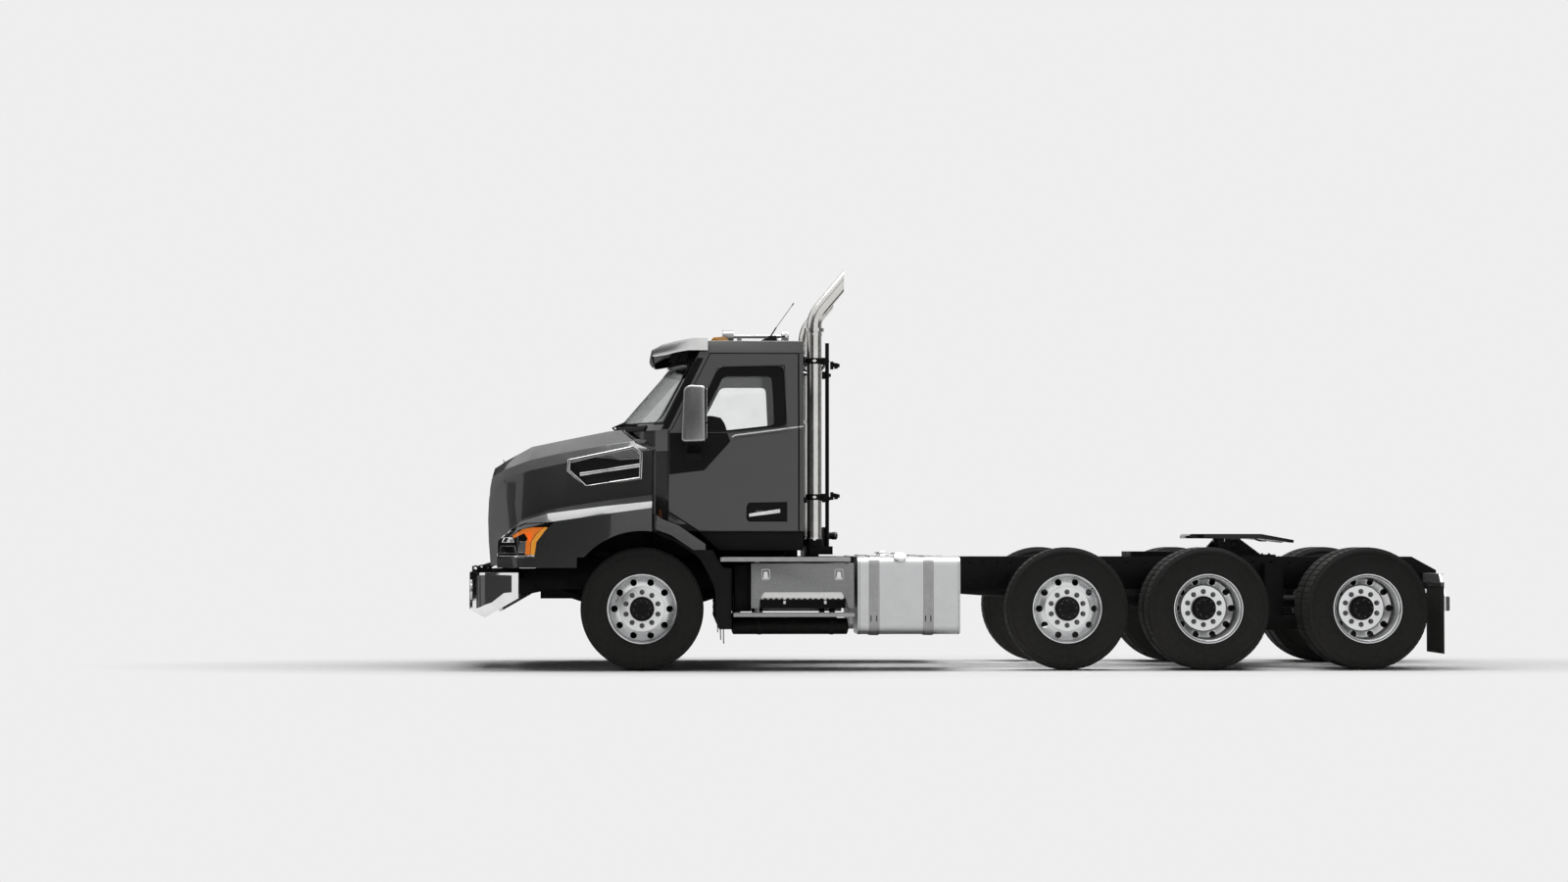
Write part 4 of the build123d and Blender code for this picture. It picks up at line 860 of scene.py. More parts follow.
soft_outer, soft_inner = rounded(window_outer, 70), rounded(window_inner, 48)
small_cup = [(1000 + (x - 1064) * 0.2, 1350 + (z - 1350) * 0.2) for x, z in cup]
for side, sign in sides:
    body, skin = f"door_{side}", door_skins[side]
    piece(f"mirror_foot_{side}", body, trim, patch(mirror_foot, skin, sign, 7), edge=0.002)
    piece(f"pillar_cover_{side}", "chassis", trim, patch(pillar, cab_skin, sign, 3))
    for name, host, line, host_skin in (("belt_door", body, belt, skin),
                                        ("belt_back", "chassis", [(1342, 2067), (1378, 2072)], wall_skin)):
        strip = bead(traced(line, host_skin, sign, False), 34, 24, bow=0.3)
        piece(f"{name}_{side}", host, paint, strip)
    frame_ring = ring_plate(soft_outer, soft_inner, lambda x, z, lift: greenhouse(x, z, sign, 22 - lift), 8)
    piece(f"window_frame_{side}", body, trim, frame_ring, edge=0.003)
    for name, loop, depth, wide, slot_name, surface in (("window_seal", soft_outer, 12, 16, "rubber", rubber),
                                                        ("window_line", soft_outer, 3, 6, "body_paint", paint),
                                                        ("glass_run", soft_inner, 14, 9, "rubber", rubber)):
        seal = laid([greenhouse(x, z, sign, depth) for x, z in loop], Vector((0, sign, 0.1)).normalized())
        piece(f"{name}_{side}", body, surface, bead(seal, wide, 6, closed=True))
    plate = [[greenhouse(x, z, sign, depth) for x, z in rounded(corner_cover, 16)] for depth in (34, 20)]
    piece(f"window_corner_{side}", body, trim, lofted(plate), edge=0.003)
    cup_floor = ring_plate(cup, small_cup, lambda x, z, lift: at(x, sign * (1057 + lift), z), 3)
    piece(f"handle_cup_{side}", body, trim, cup_floor)
    piece(f"handle_{side}", body, chrome, slab(grip, sign * 1060, sign * 1086), edge=0.006, segments=3)
    around = [at(x, sign * (1066 if z < belt_z else side_y(z) - 11), z) for x, z in door_edge]
    piece(f"door_seal_{side}", "chassis", rubber, bead(laid(around, (0, sign, 0)), 14, 3, closed=True))

# ---- mirrors -------------------------------------------------------------
# Chromed moulded heads with a tall flat glass over a low wide-angle one, each on a black arm
# from the foot on the door. The heads are bolted to the arms and stay as set.
def tube(path, radius, steps=12):
    """A round bar along points in the frame's metres, its radius in millimetres; mitred where it bends."""
    rings = []
    normal = None
    for k, spot in enumerate(path):
        before = (spot - path[k - 1]).normalized() if k else (path[1] - spot).normalized()
        after = (path[k + 1] - spot).normalized() if k < len(path) - 1 else before
        run = (before + after).normalized()
        if normal is None:
            normal = run.orthogonal().normalized()
        normal = (normal - run * normal.dot(run)).normalized()
        across = run.cross(normal)
        turns = [2 * math.pi * i / steps for i in range(steps)]
        rings.append([spot + (normal * math.cos(turn) + across * math.sin(turn)) * radius / 1000 for turn in turns])
    return lofted(rings)


def upright(outline, stations, sign=1):
    """A front view outline (y, z) between stations along x, in millimetres."""
    return lofted([[at(x, sign * y, z) for y, z in outline] for x in stations])


mirror_face = rounded([(334, 1962), (352, 2398), (398, 2426), (536, 2420), (541, 1952), (520, 1939), (352, 1939)], 34)
mirror_steps = [(1430, 0.80), (1428, 0.88), (1420, 0.95), (1404, 0.99), (1380, 1.0), (1300, 1.0), (1276, 0.985),
                (1258, 0.93), (1251, 0.86)]
mirror_glass = finish("mirror_glass", (0.85, 0.86, 0.87), 0.02, metallic=1.0, patch=4, patchiness=0.03, dust=0.0)
for side, sign in sides:
    body = f"door_{side}"
    rings = [[at(437 + (x - 437) * grow, sign * (y - (541 - x) * 0.0014 * (y - 1250)),
                 2183 + (z - 2183) * (1 - (1 - grow) * 0.45)) for x, z in mirror_face] for y, grow in mirror_steps]
    # mirror head in the darker chrome copy: painted shade
    head = piece(f"mirror_head_{side}", body, chrome_painted_darker, lofted(rings), sharp=50)
    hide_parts(f"mirror_{side}")
    rear = upright(tab(1266, 1418, 1958, 2402, 24), (532, 547), sign)
    piece(f"mirror_rim_{side}", body, trim, rear, edge=0.003)
    for name, low, high in (("mirror_glass", 2108, 2392), ("mirror_spot", 1968, 2096)):
        pane = upright(tab(1276, 1408, low, high, 18), (540, 549), sign)
        piece(f"{name}_{side}", body, mirror_glass, pane)
    arm = [[at(x, sign * y, z) for x, z in rounded(outline, 26)] for y, outline in (
        (1066, [(352, 1790), (366, 1948), (500, 1948), (516, 1790)]),
        (1088, [(352, 1790), (366, 1950), (500, 1950), (516, 1790)]),
        (1104, [(372, 1850), (378, 1975), (496, 1975), (500, 1850)]),
        (1262, [(390, 1920), (392, 2010), (486, 2010), (488, 1920)]))]
    piece(f"mirror_arm_{side}", body, trim, lofted(arm), edge=0.006)

# ---- windshield ----------------------------------------------------------
# One bonded sheet of glass in a rubber seal, with dark glass over the pillars at both ends and
# a black band above it, painted shade under the visor. Two arms from the black cowl grille wipe it.
front_tree = tree_of("cab_front", "cab_glass")


def along_front(y, z, lift):
    """A point on the cab's front at a front view (y, z), seen from ahead, in millimetres above the skin."""
    start = at(-600, y, z)
    hit, normal, _, _ = front_tree.ray_cast(start, Vector((1, 0, 0)))
    if hit is None:
        hit, normal, _, _ = front_tree.find_nearest(at(200, y, z))
    if normal.x > 0:
        normal = -normal
    return hit + normal * lift / 1000, normal


def closed_sheet(rows, depth):
    """A sheet through rows of as many points, with its back face moved by depth."""
    wide = len(rows[0])
    points = [point for row in rows for point in row]
    count = len(points)
    faces = [(r + k, r + k + 1, r + wide + k + 1, r + wide + k)
             for r in range(0, count - wide, wide) for k in range(wide - 1)]
    runs = [run for face in faces for run in zip(face, face[1:] + face[:1])]
    rim = [(a, b) for a, b in runs if (b, a) not in runs]
    back = [tuple(count + k for k in face) for face in faces]
    return points + [point + depth for point in points], faces + back + [(a, b, count + b, count + a) for a, b in rim]


glass_edge = [(-1060, 2112), (-1003, 2634), (1003, 2634), (1060, 2112)]
seal_line = [along_front(y, z, 0) for y, z in divided(glass_edge, lambda dy, dz: max(4, round(abs(dy) / 90)))]
piece("windshield_seal", "chassis", rubber, bead(seal_line, 26, 5, closed=True))
dark_glass = finish("pillar_glass", (0.16, 0.165, 0.17), 0.08, metallic=0.85, patch=2, patchiness=0.06, dust=0.0)
# painted shade: a black band on the header above the glass, where the visor shades it
header = [along_front(y, 2690, 0) for y in range(-996, 997, 83)]
piece("header_painted_shade", "chassis", trim, bead(header, 112, 4, bow=0.97), sharp=50)
for side, sign in sides:
    rows = []
    for z in range(2108, 2640, 35):
        glass_y, corner_y = 977 - (z - 2130) * 60 / 490, side_y(z) - 4
        rows.append([along_front(sign * (glass_y + (corner_y - glass_y) * k / 3), z, 3 if k else 0.5)[0]
                     for k in range(4)])
    pillar_sheet = closed_sheet(rows, Vector((0.004, -sign * 0.002, 0)))
    piece(f"corner_glass_{side}", "chassis", dark_glass, pillar_sheet, sharp=60)
cowl_line = [along_front(y, 2070, 4) for y in range(-900, 901, 75)]
piece("cowl_grille", "chassis", trim, bead(cowl_line, 60, 10, bow=0.5), edge=0.002)
for name, foot, tip in (("wiper_driver", -120, -760), ("wiper_passenger", 640, 40)):
    pivot, above = along_front(foot, 2076, 16)[0], along_front(foot - 20, 2076, 40)[0]
    knee = along_front(foot + (tip - foot) * 0.55, 2112, 34)[0]
    middle = along_front((foot + tip) / 2 - 60, 2118, 26)[0]
    arm = joined(tube([pivot, above, knee], 7, 8), tube([knee, middle], 5, 8))
    piece(f"{name}_arm", "chassis", trim, arm)
    blade = [along_front(tip + (foot - tip) * k / 8, 2100 + 10 * math.sin(math.pi * k / 8), 11) for k in range(9)]
    piece(f"{name}_blade", "chassis", rubber, bead(blade, 16, 12, bow=0.4))

# ---- visor stays and roof ------------------------------------------------
# The visor stands on black steel stays. A black sheet on its down-, rear- and inward-facing
# faces is painted shade under it. Behind it are amber marker lamps on polished bases, two
# horns with bells, and a whip aerial on a rubber foot.
roof, aerial_y = 2826, -905
stay_plan = ((-34, -9), (34, -9), (34, 9), (-34, 9))
for side, sign in sides:
    for x, lean in ((300, 40), (372, 30)):
        stay = [[at(x + dx - lean * u, sign * (930 + dy), 2790 - 150 * u) for dx, dy in stay_plan]
                for u in (0, 0.55, 1)]
        piece(f"visor_stay_{side}_{x}", "chassis", frame_paint, lofted(stay), edge=0.004)
# painted shade: black copies of the visor's faces that point down, rearwards or inwards, where the visor shades itself
shell = nodes["sun_visor"].data
points, faces, shade_top = [], [], at(0, 0, 2828).z
for face in shell.polygons:
    spot, normal = face.center, face.normal
    inner = normal.z < -0.25 or normal.x > 0.25 or (abs(normal.y) > 0.5 and normal.y * spot.y < 0)
    if inner and abs(spot.y) < 1.0045 and spot.z < shade_top:
        faces.append([len(points) + k for k in range(len(face.vertices))])
        points += [shell.vertices[i].co + normal * 0.0016 for i in face.vertices]
piece("visor_painted_shade", "chassis", trim, (points, faces))
lamp_plan = [(562, 60), (574, 74), (760, 74), (778, 58), (778, -58), (760, -74), (574, -74), (562, -60)]
for k, y in enumerate((-700, -230, 0, 230, 700)):
    base = lofted([[at(x, y + half, z) for x, half in lamp_plan] for z in (roof - 1, roof + 9)])
    piece(f"lamp_base_{k}", "chassis", chrome, base, edge=0.003)
bell = [(16, 0), (18, 30), (24, 60), (36, 88), (52, 104), (58, 108), (60, 112), (56, 114), (48, 104), (30, 84),
        (14, 60), (0, 58)]
chamber = [(0, 0), (34, 2), (48, 8), (52, 18), (52, 58), (46, 66), (20, 70), (0, 70)]
for side, sign in sides:
    horn = facing(lathe(bell, 32), "front", at(806, sign * 420, roof + 70))
    # horn bells in the darker chrome copy: painted shade
    piece(f"horn_bell_{side}", "chassis", chrome_painted_darker, horn, sharp=40)
    back = facing(lathe(chamber, 32), "rear", at(1205, sign * 420, roof + 70))
    piece(f"horn_chamber_{side}", "chassis", chrome, back)
foot_steps = ((0, 1.0, 0, 1.0), (14, 0.98, 2, 0.95), (40, 0.62, 38, 0.7), (56, 0.42, 58, 0.5))
foot_plan = ((1016, 0), (1040, 15), (1130, 18), (1160, 12), (1160, -12), (1130, -18), (1040, -15))
foot = lofted([[at(1040 + (x - 1040) * grow + shift, aerial_y + y * wide, roof - 8 + z) for x, y in foot_plan]
               for z, grow, shift, wide in foot_steps])
piece("aerial_foot", "chassis", rubber, foot, edge=0.003)
spring_low, spring_top, whip_low, whip_top, tip = [at(x, aerial_y, roof + rise) for x, rise in ((1100, 40),
                                                                                                (1150, 118),
                                                                                                (1286, 308),
                                                                                                (1292, 316),
                                                                                                (1300, 328))]
piece("aerial_spring", "chassis", trim, tube([spring_low, spring_top], 6, 10))
whip = joined(tube([spring_top, whip_top], 2.6, 8), tube([whip_low, tip], 5, 8))
piece("aerial_whip", "chassis", trim, whip)

# ---- exhaust stacks and rack ---------------------------------------------
# Polished steel stacks, held to the rack by bands with a bolt each and standing in black
# shoes. The rack's posts carry black cast clamps and the air couplings.
strap = [(64, -13), (67.5, -13), (67.5, 13), (64, 13)]
shoe = lathe([(63.6, 0), (74, 0), (76, 6), (76, 58), (70, 64), (63.6, 64)], 40, closed=True)
clamp_parts = ((-6, 0, 1.0, 34), (14, 6, 0.8, 18), (30, -4, 1.1, 24), (52, 0, 0.7, 15))
for side, sign in sides:
    x, y = 1475, sign * 950
    for k, z in enumerate((1120, 1480, 2650, 2880)):
        band = facing(lathe(strap, 48, closed=True), "up", at(x, y, z))
        lug = placed(brick((-9, 9), (-14, 14), (-11, 11)), at(x, y + sign * 76, z))
        bolt = facing(lathe([(0, -16), (6, -16), (6, 16), (0, 16)], 6), "rear", at(x, y + sign * 80, z))
        piece(f"stack_band_{side}_{k}", "chassis", satin, joined(band, lug, bolt))
    piece(f"stack_shoe_{side}", "chassis", cast, facing(shoe, "up", at(x, y, 1058)))
    for k, z in enumerate((1492, 2622)):
        bosses = [placed(brick((-14 * g, 14 * g), (-26 * g, 26 * g), (-h, h)), at(1640 + dx, sign * 800, z + dz))
                  for dx, dz, g, h in clamp_parts]
        piece(f"rack_clamp_{side}_{k}", "chassis", cast, joined(*bosses), edge=0.004)
coupling = lathe([(0, 0), (26, 0), (34, 6), (34, 22), (26, 30), (14, 34), (0, 34)], 24)
for k, y in enumerate((-220, -90, 90, 220)):
    seat = facing(coupling, "rear", at(1678, y, 1150))
    piece(f"air_coupling_{k}", "chassis", cast if k % 2 else nut_steel, seat)

# ---- step boxes and air tanks --------------------------------------------
# Galvanised boxes with two paddle latches in dished cups, a bright serrated tread let into
# the lower face on two lugs, and gripped aluminium steps above and below.
def in_row(tree, out, index):
    """Each copy one step further from the start."""
    run = add(tree, "ShaderNodeVectorMath", (0, out["Step"]), ("Scale", index), operation="SCALE").outputs[0]
    spot = add(tree, "ShaderNodeVectorMath", (0, out["Start"]), (1, run), operation="ADD").outputs[0]
    return spot, (0, 0, 0), (0, 0, 0)


row = copier("row_of_pieces", (("Start", "NodeSocketVector"), ("Step", "NodeSocketVector")), in_row)
strap_steel = finish("strap_steel", (0.36, 0.36, 0.36), 0.34, metallic=1.0, patch=12, patchiness=0.1,
                     grain=(300, 0.0001, (1, 1, 0.05)))
tread_metal = finish("bright_tread", (0.86, 0.86, 0.85), 0.42, metallic=0.85, patch=14, patchiness=0.08,
                     grain=(500, 0.0001, (0.05, 1, 1)))
stud = facing(lathe([(0, 3), (5, 3), (7, 0), (7, -1), (0, -1)], 8), "up", Vector())
teeth = [(1001 + 24 * k, 604 if k % 2 else 618) for k in range(30)]
teeth = [(1001, 694), (1001, 616)] + teeth + [(1721, 616), (1721, 694)]
air_strap = lathe([(70.5, -16), (73.5, -16), (73.5, 16), (70.5, 16)], 40, closed=True)
dome = lathe([(0, 16), (30, 14), (52, 9), (66, 2), (70, -6), (70, -10), (0, -10)], 40)
# upper and lower step: first stud, height, studs in a row, nosing from and to, its drop
steps = (("upper", 690, 964, 54, (668, 1772), 36), ("lower", 800, 492, 50, (779, 1807), 34))
for side, sign in sides:
    for k, x in enumerate((1052, 1676)):
        rim = [at(u, sign * 1181, v) for u, v in tab(x - 34, x + 34, 776, 862, 12)]
        dish = bead(laid(rim, (0, sign, 0)), 7, 4, closed=True)
        blade = rounded([(x - 20, 792), (x - 15, 842), (x + 15, 842), (x + 20, 792)], 8)
        paddle = slab(blade, sign * 1179, sign * 1187)
        pull = slab(tab(x - 26, x + 26, 782, 796, 5), sign * 1180, sign * 1194)
        piece(f"latch_{side}_{k}", "chassis", satin, joined(dish, paddle, pull), edge=0.0015)
    front = slab(teeth, sign * 1150, sign * 1156)
    shelf = slab([(1001, 686), (1001, 694), (1721, 694), (1721, 686)], sign * 980, sign * 1156)
    piece(f"box_tread_{side}", "chassis", tread_metal, joined(front, shelf), edge=0.0015)
    recess = slab([(1002, 531), (1010, 604), (1732, 604), (1738, 531)], sign * 1088, sign * 1093)
    cover = slab([(1002, 596), (1002, 604), (1738, 604), (1738, 596)], sign * 1093, sign * 1176)
    piece(f"box_recess_{side}", "chassis", trim, joined(recess, cover))
    for k, x in enumerate((1213, 1561)):
        lug = slab(tab(x - 11, x + 11, 566, 640, 9), sign * 1140, sign * 1160)
        piece(f"tread_lug_{side}_{k}", "chassis", tread_metal, lug, edge=0.002)
    for name, x, z, count, nosing, drop in steps:
        for lane, y in enumerate((1090, 1145, 1200)):
            repeated(f"step_studs_{name}_{side}_{lane}", "chassis", "box_metal", strap_steel, stud, row,
                     count=count, start=at(x + 10 * (lane % 2), sign * y, z), step=(0.02, 0, 0))
        lip = laid([at(u, sign * 1231, z - drop / 2) for u in nosing], (0, sign, 0))
        lip = bead(lip, drop - 4, 3, bow=0.5)
        piece(f"step_nosing_{name}_{side}", "chassis", strap_steel, lip, edge=0.001)
    for k, x in enumerate((1000, 1620)):
        piece(f"air_strap_{side}_{k}", "chassis", cast,
              facing(air_strap, "rear", at(x, sign * 1000, 376)))
    for k, (x, way) in enumerate(((776, "front"), (1751, "rear"))):
        piece(f"air_end_{side}_{k}", "chassis", frame_paint,
              facing(dome, way, at(x, sign * 1000, 376)))

# ---- fuel tanks ----------------------------------------------------------
# Welded aluminium tanks with rounded corners, on brackets from the rails: two steel straps
# over rubber, a weld ring at each end, and a vented cap on a slanted neck.
tank_y, tank_z, half_y, half_z, tank_corner = 850, 640, 365, 331, 95


def tank_band(sign, x, wide, grow, thick):
    """A band round the tank from x, as wide and thick as given, some millimetres off its skin."""
    rings = []
    for u, more in ((x, grow), (x + wide, grow), (x + wide, grow + thick), (x, grow + thick)):
        ring_points = []
        for a, b, turn in ((1, 1, 0), (-1, 1, 90), (-1, -1, 180), (1, -1, 270)):
            for step in range(9):
                angle, reach = math.radians(turn + step * 90 / 8), tank_corner + more
                y = a * (half_y - tank_corner) + reach * math.cos(angle)
                z = b * (half_z - tank_corner) + reach * math.sin(angle)
                ring_points.append(at(u, sign * (tank_y + y), tank_z + z))
        rings.append(ring_points)
    return lofted(rings + rings[:1], ends=False)


weld = finish("tank_weld", (0.45, 0.455, 0.46), 0.4, metallic=1.0, patch=40, patchiness=0.25, grain=(260, 0.0006))
neck = lathe([(34, 0), (34, 30), (52, 32), (58, 36), (58, 50), (52, 56), (40, 60), (20, 62), (0, 62)], 36)
tilt = Matrix.Rotation(math.radians(-45), 3, "X")
cap = [tilt @ Vector((v.x, -v.y, v.z)) for v in neck[0]], neck[1]
for side, sign in sides:
    for k, (x, wide) in enumerate(((1935, 80), (2400, 77))):
        for name, slot_name, surface, band in (
                ("tank_strap", "tank_aluminium", strap_steel, tank_band(sign, x + 3, wide - 6, 6, 3)),
                ("strap_rubber", "rubber", rubber, tank_band(sign, x - 3, wide + 6, 0.5, 5.2))):
            piece(f"{name}_{side}_{k}", "chassis", surface, band, sharp=40)
        for name, shift in (("front", 12), ("rear", wide - 20)):
            rod = tube([at(x + shift, sign * 1226, z) for z in (420, 470)], 5, 8)
            piece(f"strap_bolt_{name}_{side}_{k}", "chassis", nut_steel, rod)
    for k, x in enumerate((1846, 2690)):
        piece(f"tank_weld_{side}_{k}", "chassis", weld, tank_band(sign, x, 9, -1, 3), sharp=40)
    cap_spot = at(2196, sign * 1142, 937)
    piece(f"tank_cap_{side}", "chassis", satin, placed(cap, cap_spot, sign > 0), sharp=30)
    pull = tube([at(x, sign * y, z) for x, y, z in ((2178, 1150, 985), (2150, 1130, 998), (2120, 1120, 996))], 4, 8)
    piece(f"cap_chain_{side}", "chassis", cast, pull)

# ---- frame and running gear ----------------------------------------------
# Black channel rails with rows of flanged bolts, rubber air springs between beam and rail,
# brake chambers behind each axle, dampers, leaf springs and collars on the shaft.
bolt_head = lathe([(0, 12), (8, 12), (10.5, 9), (10.5, 3), (15, 2), (15, -1), (0, -1)], 6)
# rows of bolts: first x, height, number and pitch
bolt_rows = ((-640, 925, 5, 150), (-640, 735, 5, 150), (2860, 925, 9, 120), (2860, 730, 9, 120), (4080, 925, 14, 160),
             (4380, 730, 12, 160), (1300, 935, 4, 140), (6420, 880, 4, 110))
dampers = (("drive_1", 4700, 4760, 470), ("drive_2", 6360, 6300, 470), ("front", -330, -170, 520))
bellows = [(60, 0), (82, 4), (100, 26), (104, 52), (98, 78), (86, 92), (98, 106), (104, 132), (98, 158), (84, 176),
           (70, 182), (70, 188), (0, 188)]
chamber = lathe([(0, 0), (30, 2), (60, 10), (74, 22), (78, 40), (84, 44), (84, 56), (78, 60), (72, 84), (84, 100),
                 (84, 112), (76, 116), (60, 170), (30, 182), (0, 184)], 32)
small_chamber = [v * 0.86 for v in chamber[0]], chamber[1]
for side, sign in sides:
    left = sign < 0
    head = placed(bolt_head, Vector(), left)
    for k, (x, z, count, pitch) in enumerate(bolt_rows):
        repeated(f"rail_bolts_{side}_{k}", "chassis", "frame_black", frame_paint, head, row,
                 count=count, start=at(x, sign * 432, z), step=(pitch / 1000, 0, 0))
    for name, x, low in (("pusher", 3631, 490), ("drive_1", 5066, 452), ("drive_2", 6505, 452)):
        grow = (682 - low) / bellows[-1][1]
        spring = facing(lathe([(radius, y * grow) for radius, y in bellows], 40), "up", at(x, sign * 485, low))
        piece(f"air_spring_{name}_{side}", "chassis", rubber, spring, sharp=50)
    for name, x, reach in (("pusher", 3381, 125), ("drive_1", 5001, -82.5), ("drive_2", 6370, -82.5)):
        turned_in = placed(small_chamber, at(x, sign * 400, 590), not left)
        rod = tube([at(x, sign * 398, 590), at(x + reach, sign * 425, 560)], 9, 8)
        piece(f"brake_chamber_{name}_{side}", "chassis", cast, joined(turned_in, rod))
    for name, x, foot_x, low in dampers:
        high_end, low_end = at(x, sign * 458, 800), at(foot_x, sign * 458, low)
        half = (high_end + low_end) / 2
        damper = joined(tube([high_end, half], 27, 16), tube([half, low_end], 19, 16))
        piece(f"damper_{name}_{side}", "chassis", frame_paint, damper)
    for k, (x, z) in enumerate(((4836, 410), (6205, 410))):
        for mark, dx in (("a", -58), ("b", 58)):
            bend = ((462, z), (462, 610), (548, 610), (548, z))
            loop = tube([at(x + dx, sign * y, height) for y, height in bend], 8, 8)
            piece(f"axle_u_bolt_{side}_{k}_{mark}", "chassis", cast, loop)
    leaves = []
    for drop in (0, 17, 34, 51):
        half_run = [(700 - drop * 4, 652 + drop * 0.2), (400, 560 - drop * 0.4), (60, 522 - drop)]
        run = [(-x, z) for x, z in half_run] + half_run[::-1]
        stations = [(x, z - 5, z + 3) for x, z in run]
        leaves.append(ribbon(stations, lambda x, z, lift: at(x, sign * (430 + lift), z), 3))
    piece(f"leaf_edges_{side}", "chassis", cast, joined(*leaves))
collar = lathe([(58, -40), (66, -34), (66, -14), (60, -10), (60, 10), (66, 14), (66, 34), (58, 40)], 24)
for k, x in enumerate((1300, 2400, 4400)):
    shaft_z = along([(1255, 800), (4536, 565)], x)
    piece(f"shaft_collar_{k}", "chassis", cast, facing(collar, "rear", at(x, 0, shaft_z)))

# ---- mudguards -----------------------------------------------------------
# Moulded black guards with a folded rear edge, ribs across the front face, and two spring
# steel prongs that hang below to take a short flap.
def block(x, y, z, sign=1):
    """A box between the (low, high) pairs of its three directions, in millimetres from the front axle."""
    return [at(u, sign * v, w) for u in x for v in y for w in z], brick(x, y, z)[1]


fold = ((664, 362), (752, 362), (752, 860), (690, 871), (652, 918), (600, 1018))
for side, sign in sides:
    for k, (x, y, low) in enumerate(((668, 1130, 262), (694, 1080, 228))):
        bend = ((x, y, 360), (x, y, low + 40), (670 + 26 * k, y + 3, low))
        prong = tube([at(u, sign * v, w) for u, v, w in bend], 4.5, 8)
        piece(f"guard_prong_{side}_{k}", "chassis", frame_paint, prong)
    edge_line = laid([at(x, sign * 1191, z) for x, z in fold], (0, sign, 0))
    piece(f"guard_fold_{side}", "chassis", trim, bead(edge_line, 12, 4))
    for k, z in enumerate(range(440, 801, 60)):
        rib = block((621, 626), (600, 1160), (z - 7, z + 7), sign)
        piece(f"guard_rib_{side}_{k}", "chassis", trim, rib)

# ---- fifth wheel ---------------------------------------------------------
# Cast plate, its top greased, with worn rings round the throat, a lock bar, a pull
# handle on the left, pivot pin caps and bolted feet on a steel deck.
greased = finish("greased_plate", (0.012, 0.0115, 0.011), 0.22, metallic=0.3, patch=11, patchiness=0.5, dust=0.0,
                 grain=(40, 0.0015, (1, 1, 0.2)))
for slot in nodes["fifth_wheel_plate"].material_slots:
    slot.material = greased
lock_x, plate_top, throat_x = 5262, 1166, 5430
for k, radius in enumerate((150, 225, 300)):
    turns = [math.radians(a) for a in range(60, 301, 12)]
    arc = [at(lock_x + radius * math.cos(a), radius * math.sin(a), plate_top) for a in turns]
    arc = laid([spot for spot in arc if spot.x * 1000 + middle_x < throat_x], (0, 0, 1))
    piece(f"grease_ring_{k}", "fifth_wheel", cast, bead(arc, 9, 0.8))
pull = ((5380, -446, 1120), (5390, -520, 1110), (5400, -596, 1106), (5440, -604, 1106), (5446, -560, 1108),
        (5414, -548, 1108))
piece("lock_pull", "fifth_wheel", nut_steel, tube([at(*spot) for spot in pull], 8, 10))
jaw = lathe([(26.4, -14), (46, -14), (46, 14), (26.4, 14)], 32, closed=True)
piece("lock_jaw", "fifth_wheel", nut_steel, facing(jaw, "up", at(lock_x, 0, 1130)))
cap = lathe([(0, 8), (30, 7), (38, 0), (38, -2), (0, -2)], 24)
for side, sign in sides:
    piece(f"pivot_cap_{side}", "chassis", cast, placed(cap, at(5200, sign * 398, 1070), sign < 0))
    for k, (x, count) in enumerate(((4840, 6), (5380, 3))):
        bolt = facing(bolt_head, "up", Vector())
        repeated(f"deck_bolts_{side}_{k}", "chassis", "frame_black", frame_paint, bolt, row,
                 count=count, start=at(x, sign * 412, 985), step=(0.062, 0, 0))

# ---- hood seal and fittings ----------------------------------------------
# A rubber seal stands behind the hood's tail. A painted cowl closes the gap to the cab. The
# hood has a ridge on each fender end, a pull on its nose and a mesh in its grille.
seal_plan = [(690, 1150), (952, 1150), (952, 1300), (930, 1876), (846, 1978), (690, 2040)]
ridge_line = [(124, 1276), (182, 1256), (304, 1202), (424, 1112), (500, 1062)]
fender_skin = skin_of("fender_ends")
for side, sign in sides:
    piece(f"hood_seal_{side}", "chassis", rubber, upright(seal_plan, (93, 98), sign), edge=0.002)
    sill = block((94, 168), (700, 1072), (1176, 1204), sign)
    piece(f"cowl_block_{side}", "chassis", rubber, sill, edge=0.002)
    ridge = bead(traced(ridge_line, fender_skin, sign, False), 44, 16, bow=0.25)
    piece(f"fender_ridge_{side}", "chassis", paint, ridge)
# the seam runs back from the middle of the hood in an arc, then straight to the corner
nose_tree = tree_of("hood")
seam_middle, seam_end, arc_half, corner_y = -302, -62, 850, 938
sag = seam_end - seam_middle
arc_radius = (arc_half ** 2 + sag ** 2) / (2 * sag)
down, rearwards = Vector((0, 0, -1)), Vector((1, 0, 0))
fronts, rears = [], []
for k in range(-38, 39):
    y = k * 25 if abs(k) < 38 else math.copysign(corner_y, k)
    if abs(y) <= arc_half:
        seam = seam_middle + arc_radius - math.sqrt(arc_radius ** 2 - y ** 2)
    else:
        seam = seam_end + (abs(y) - arc_half) * 146 / 90
    front = at(seam + 13, y, 0)
    front.z = nose_tree.ray_cast(at(seam - 8, y, 3000), down)[0].z
    wall = front_tree.ray_cast(front + Vector((0, 0, 0.02)), rearwards)[0]
    rear_x = min(wall.x + 0.02 if wall is not None else front.x + 0.1, at(236, 0, 0).x)
    gap = rear_x - front.x
    spread = 1.0 if abs(y) < 800 else 1 + 0.1 * min(1, gap / 0.12)
    fronts.append(front)
    rears.append(Vector((rear_x, front.y * spread, front.z + min(0.09 * gap, 0.03))))
piece("cowl_panel", "chassis", paint, closed_sheet([fronts, rears], down * 0.004), sharp=14)
wall_plan = [(-90, 726, 2046), (-52, 790, 2012), (-18, 850, 1982), (34, 895, 1930), (98, 940, 1878), (110, 974, 1872),
             (217, 1073, 1872)]
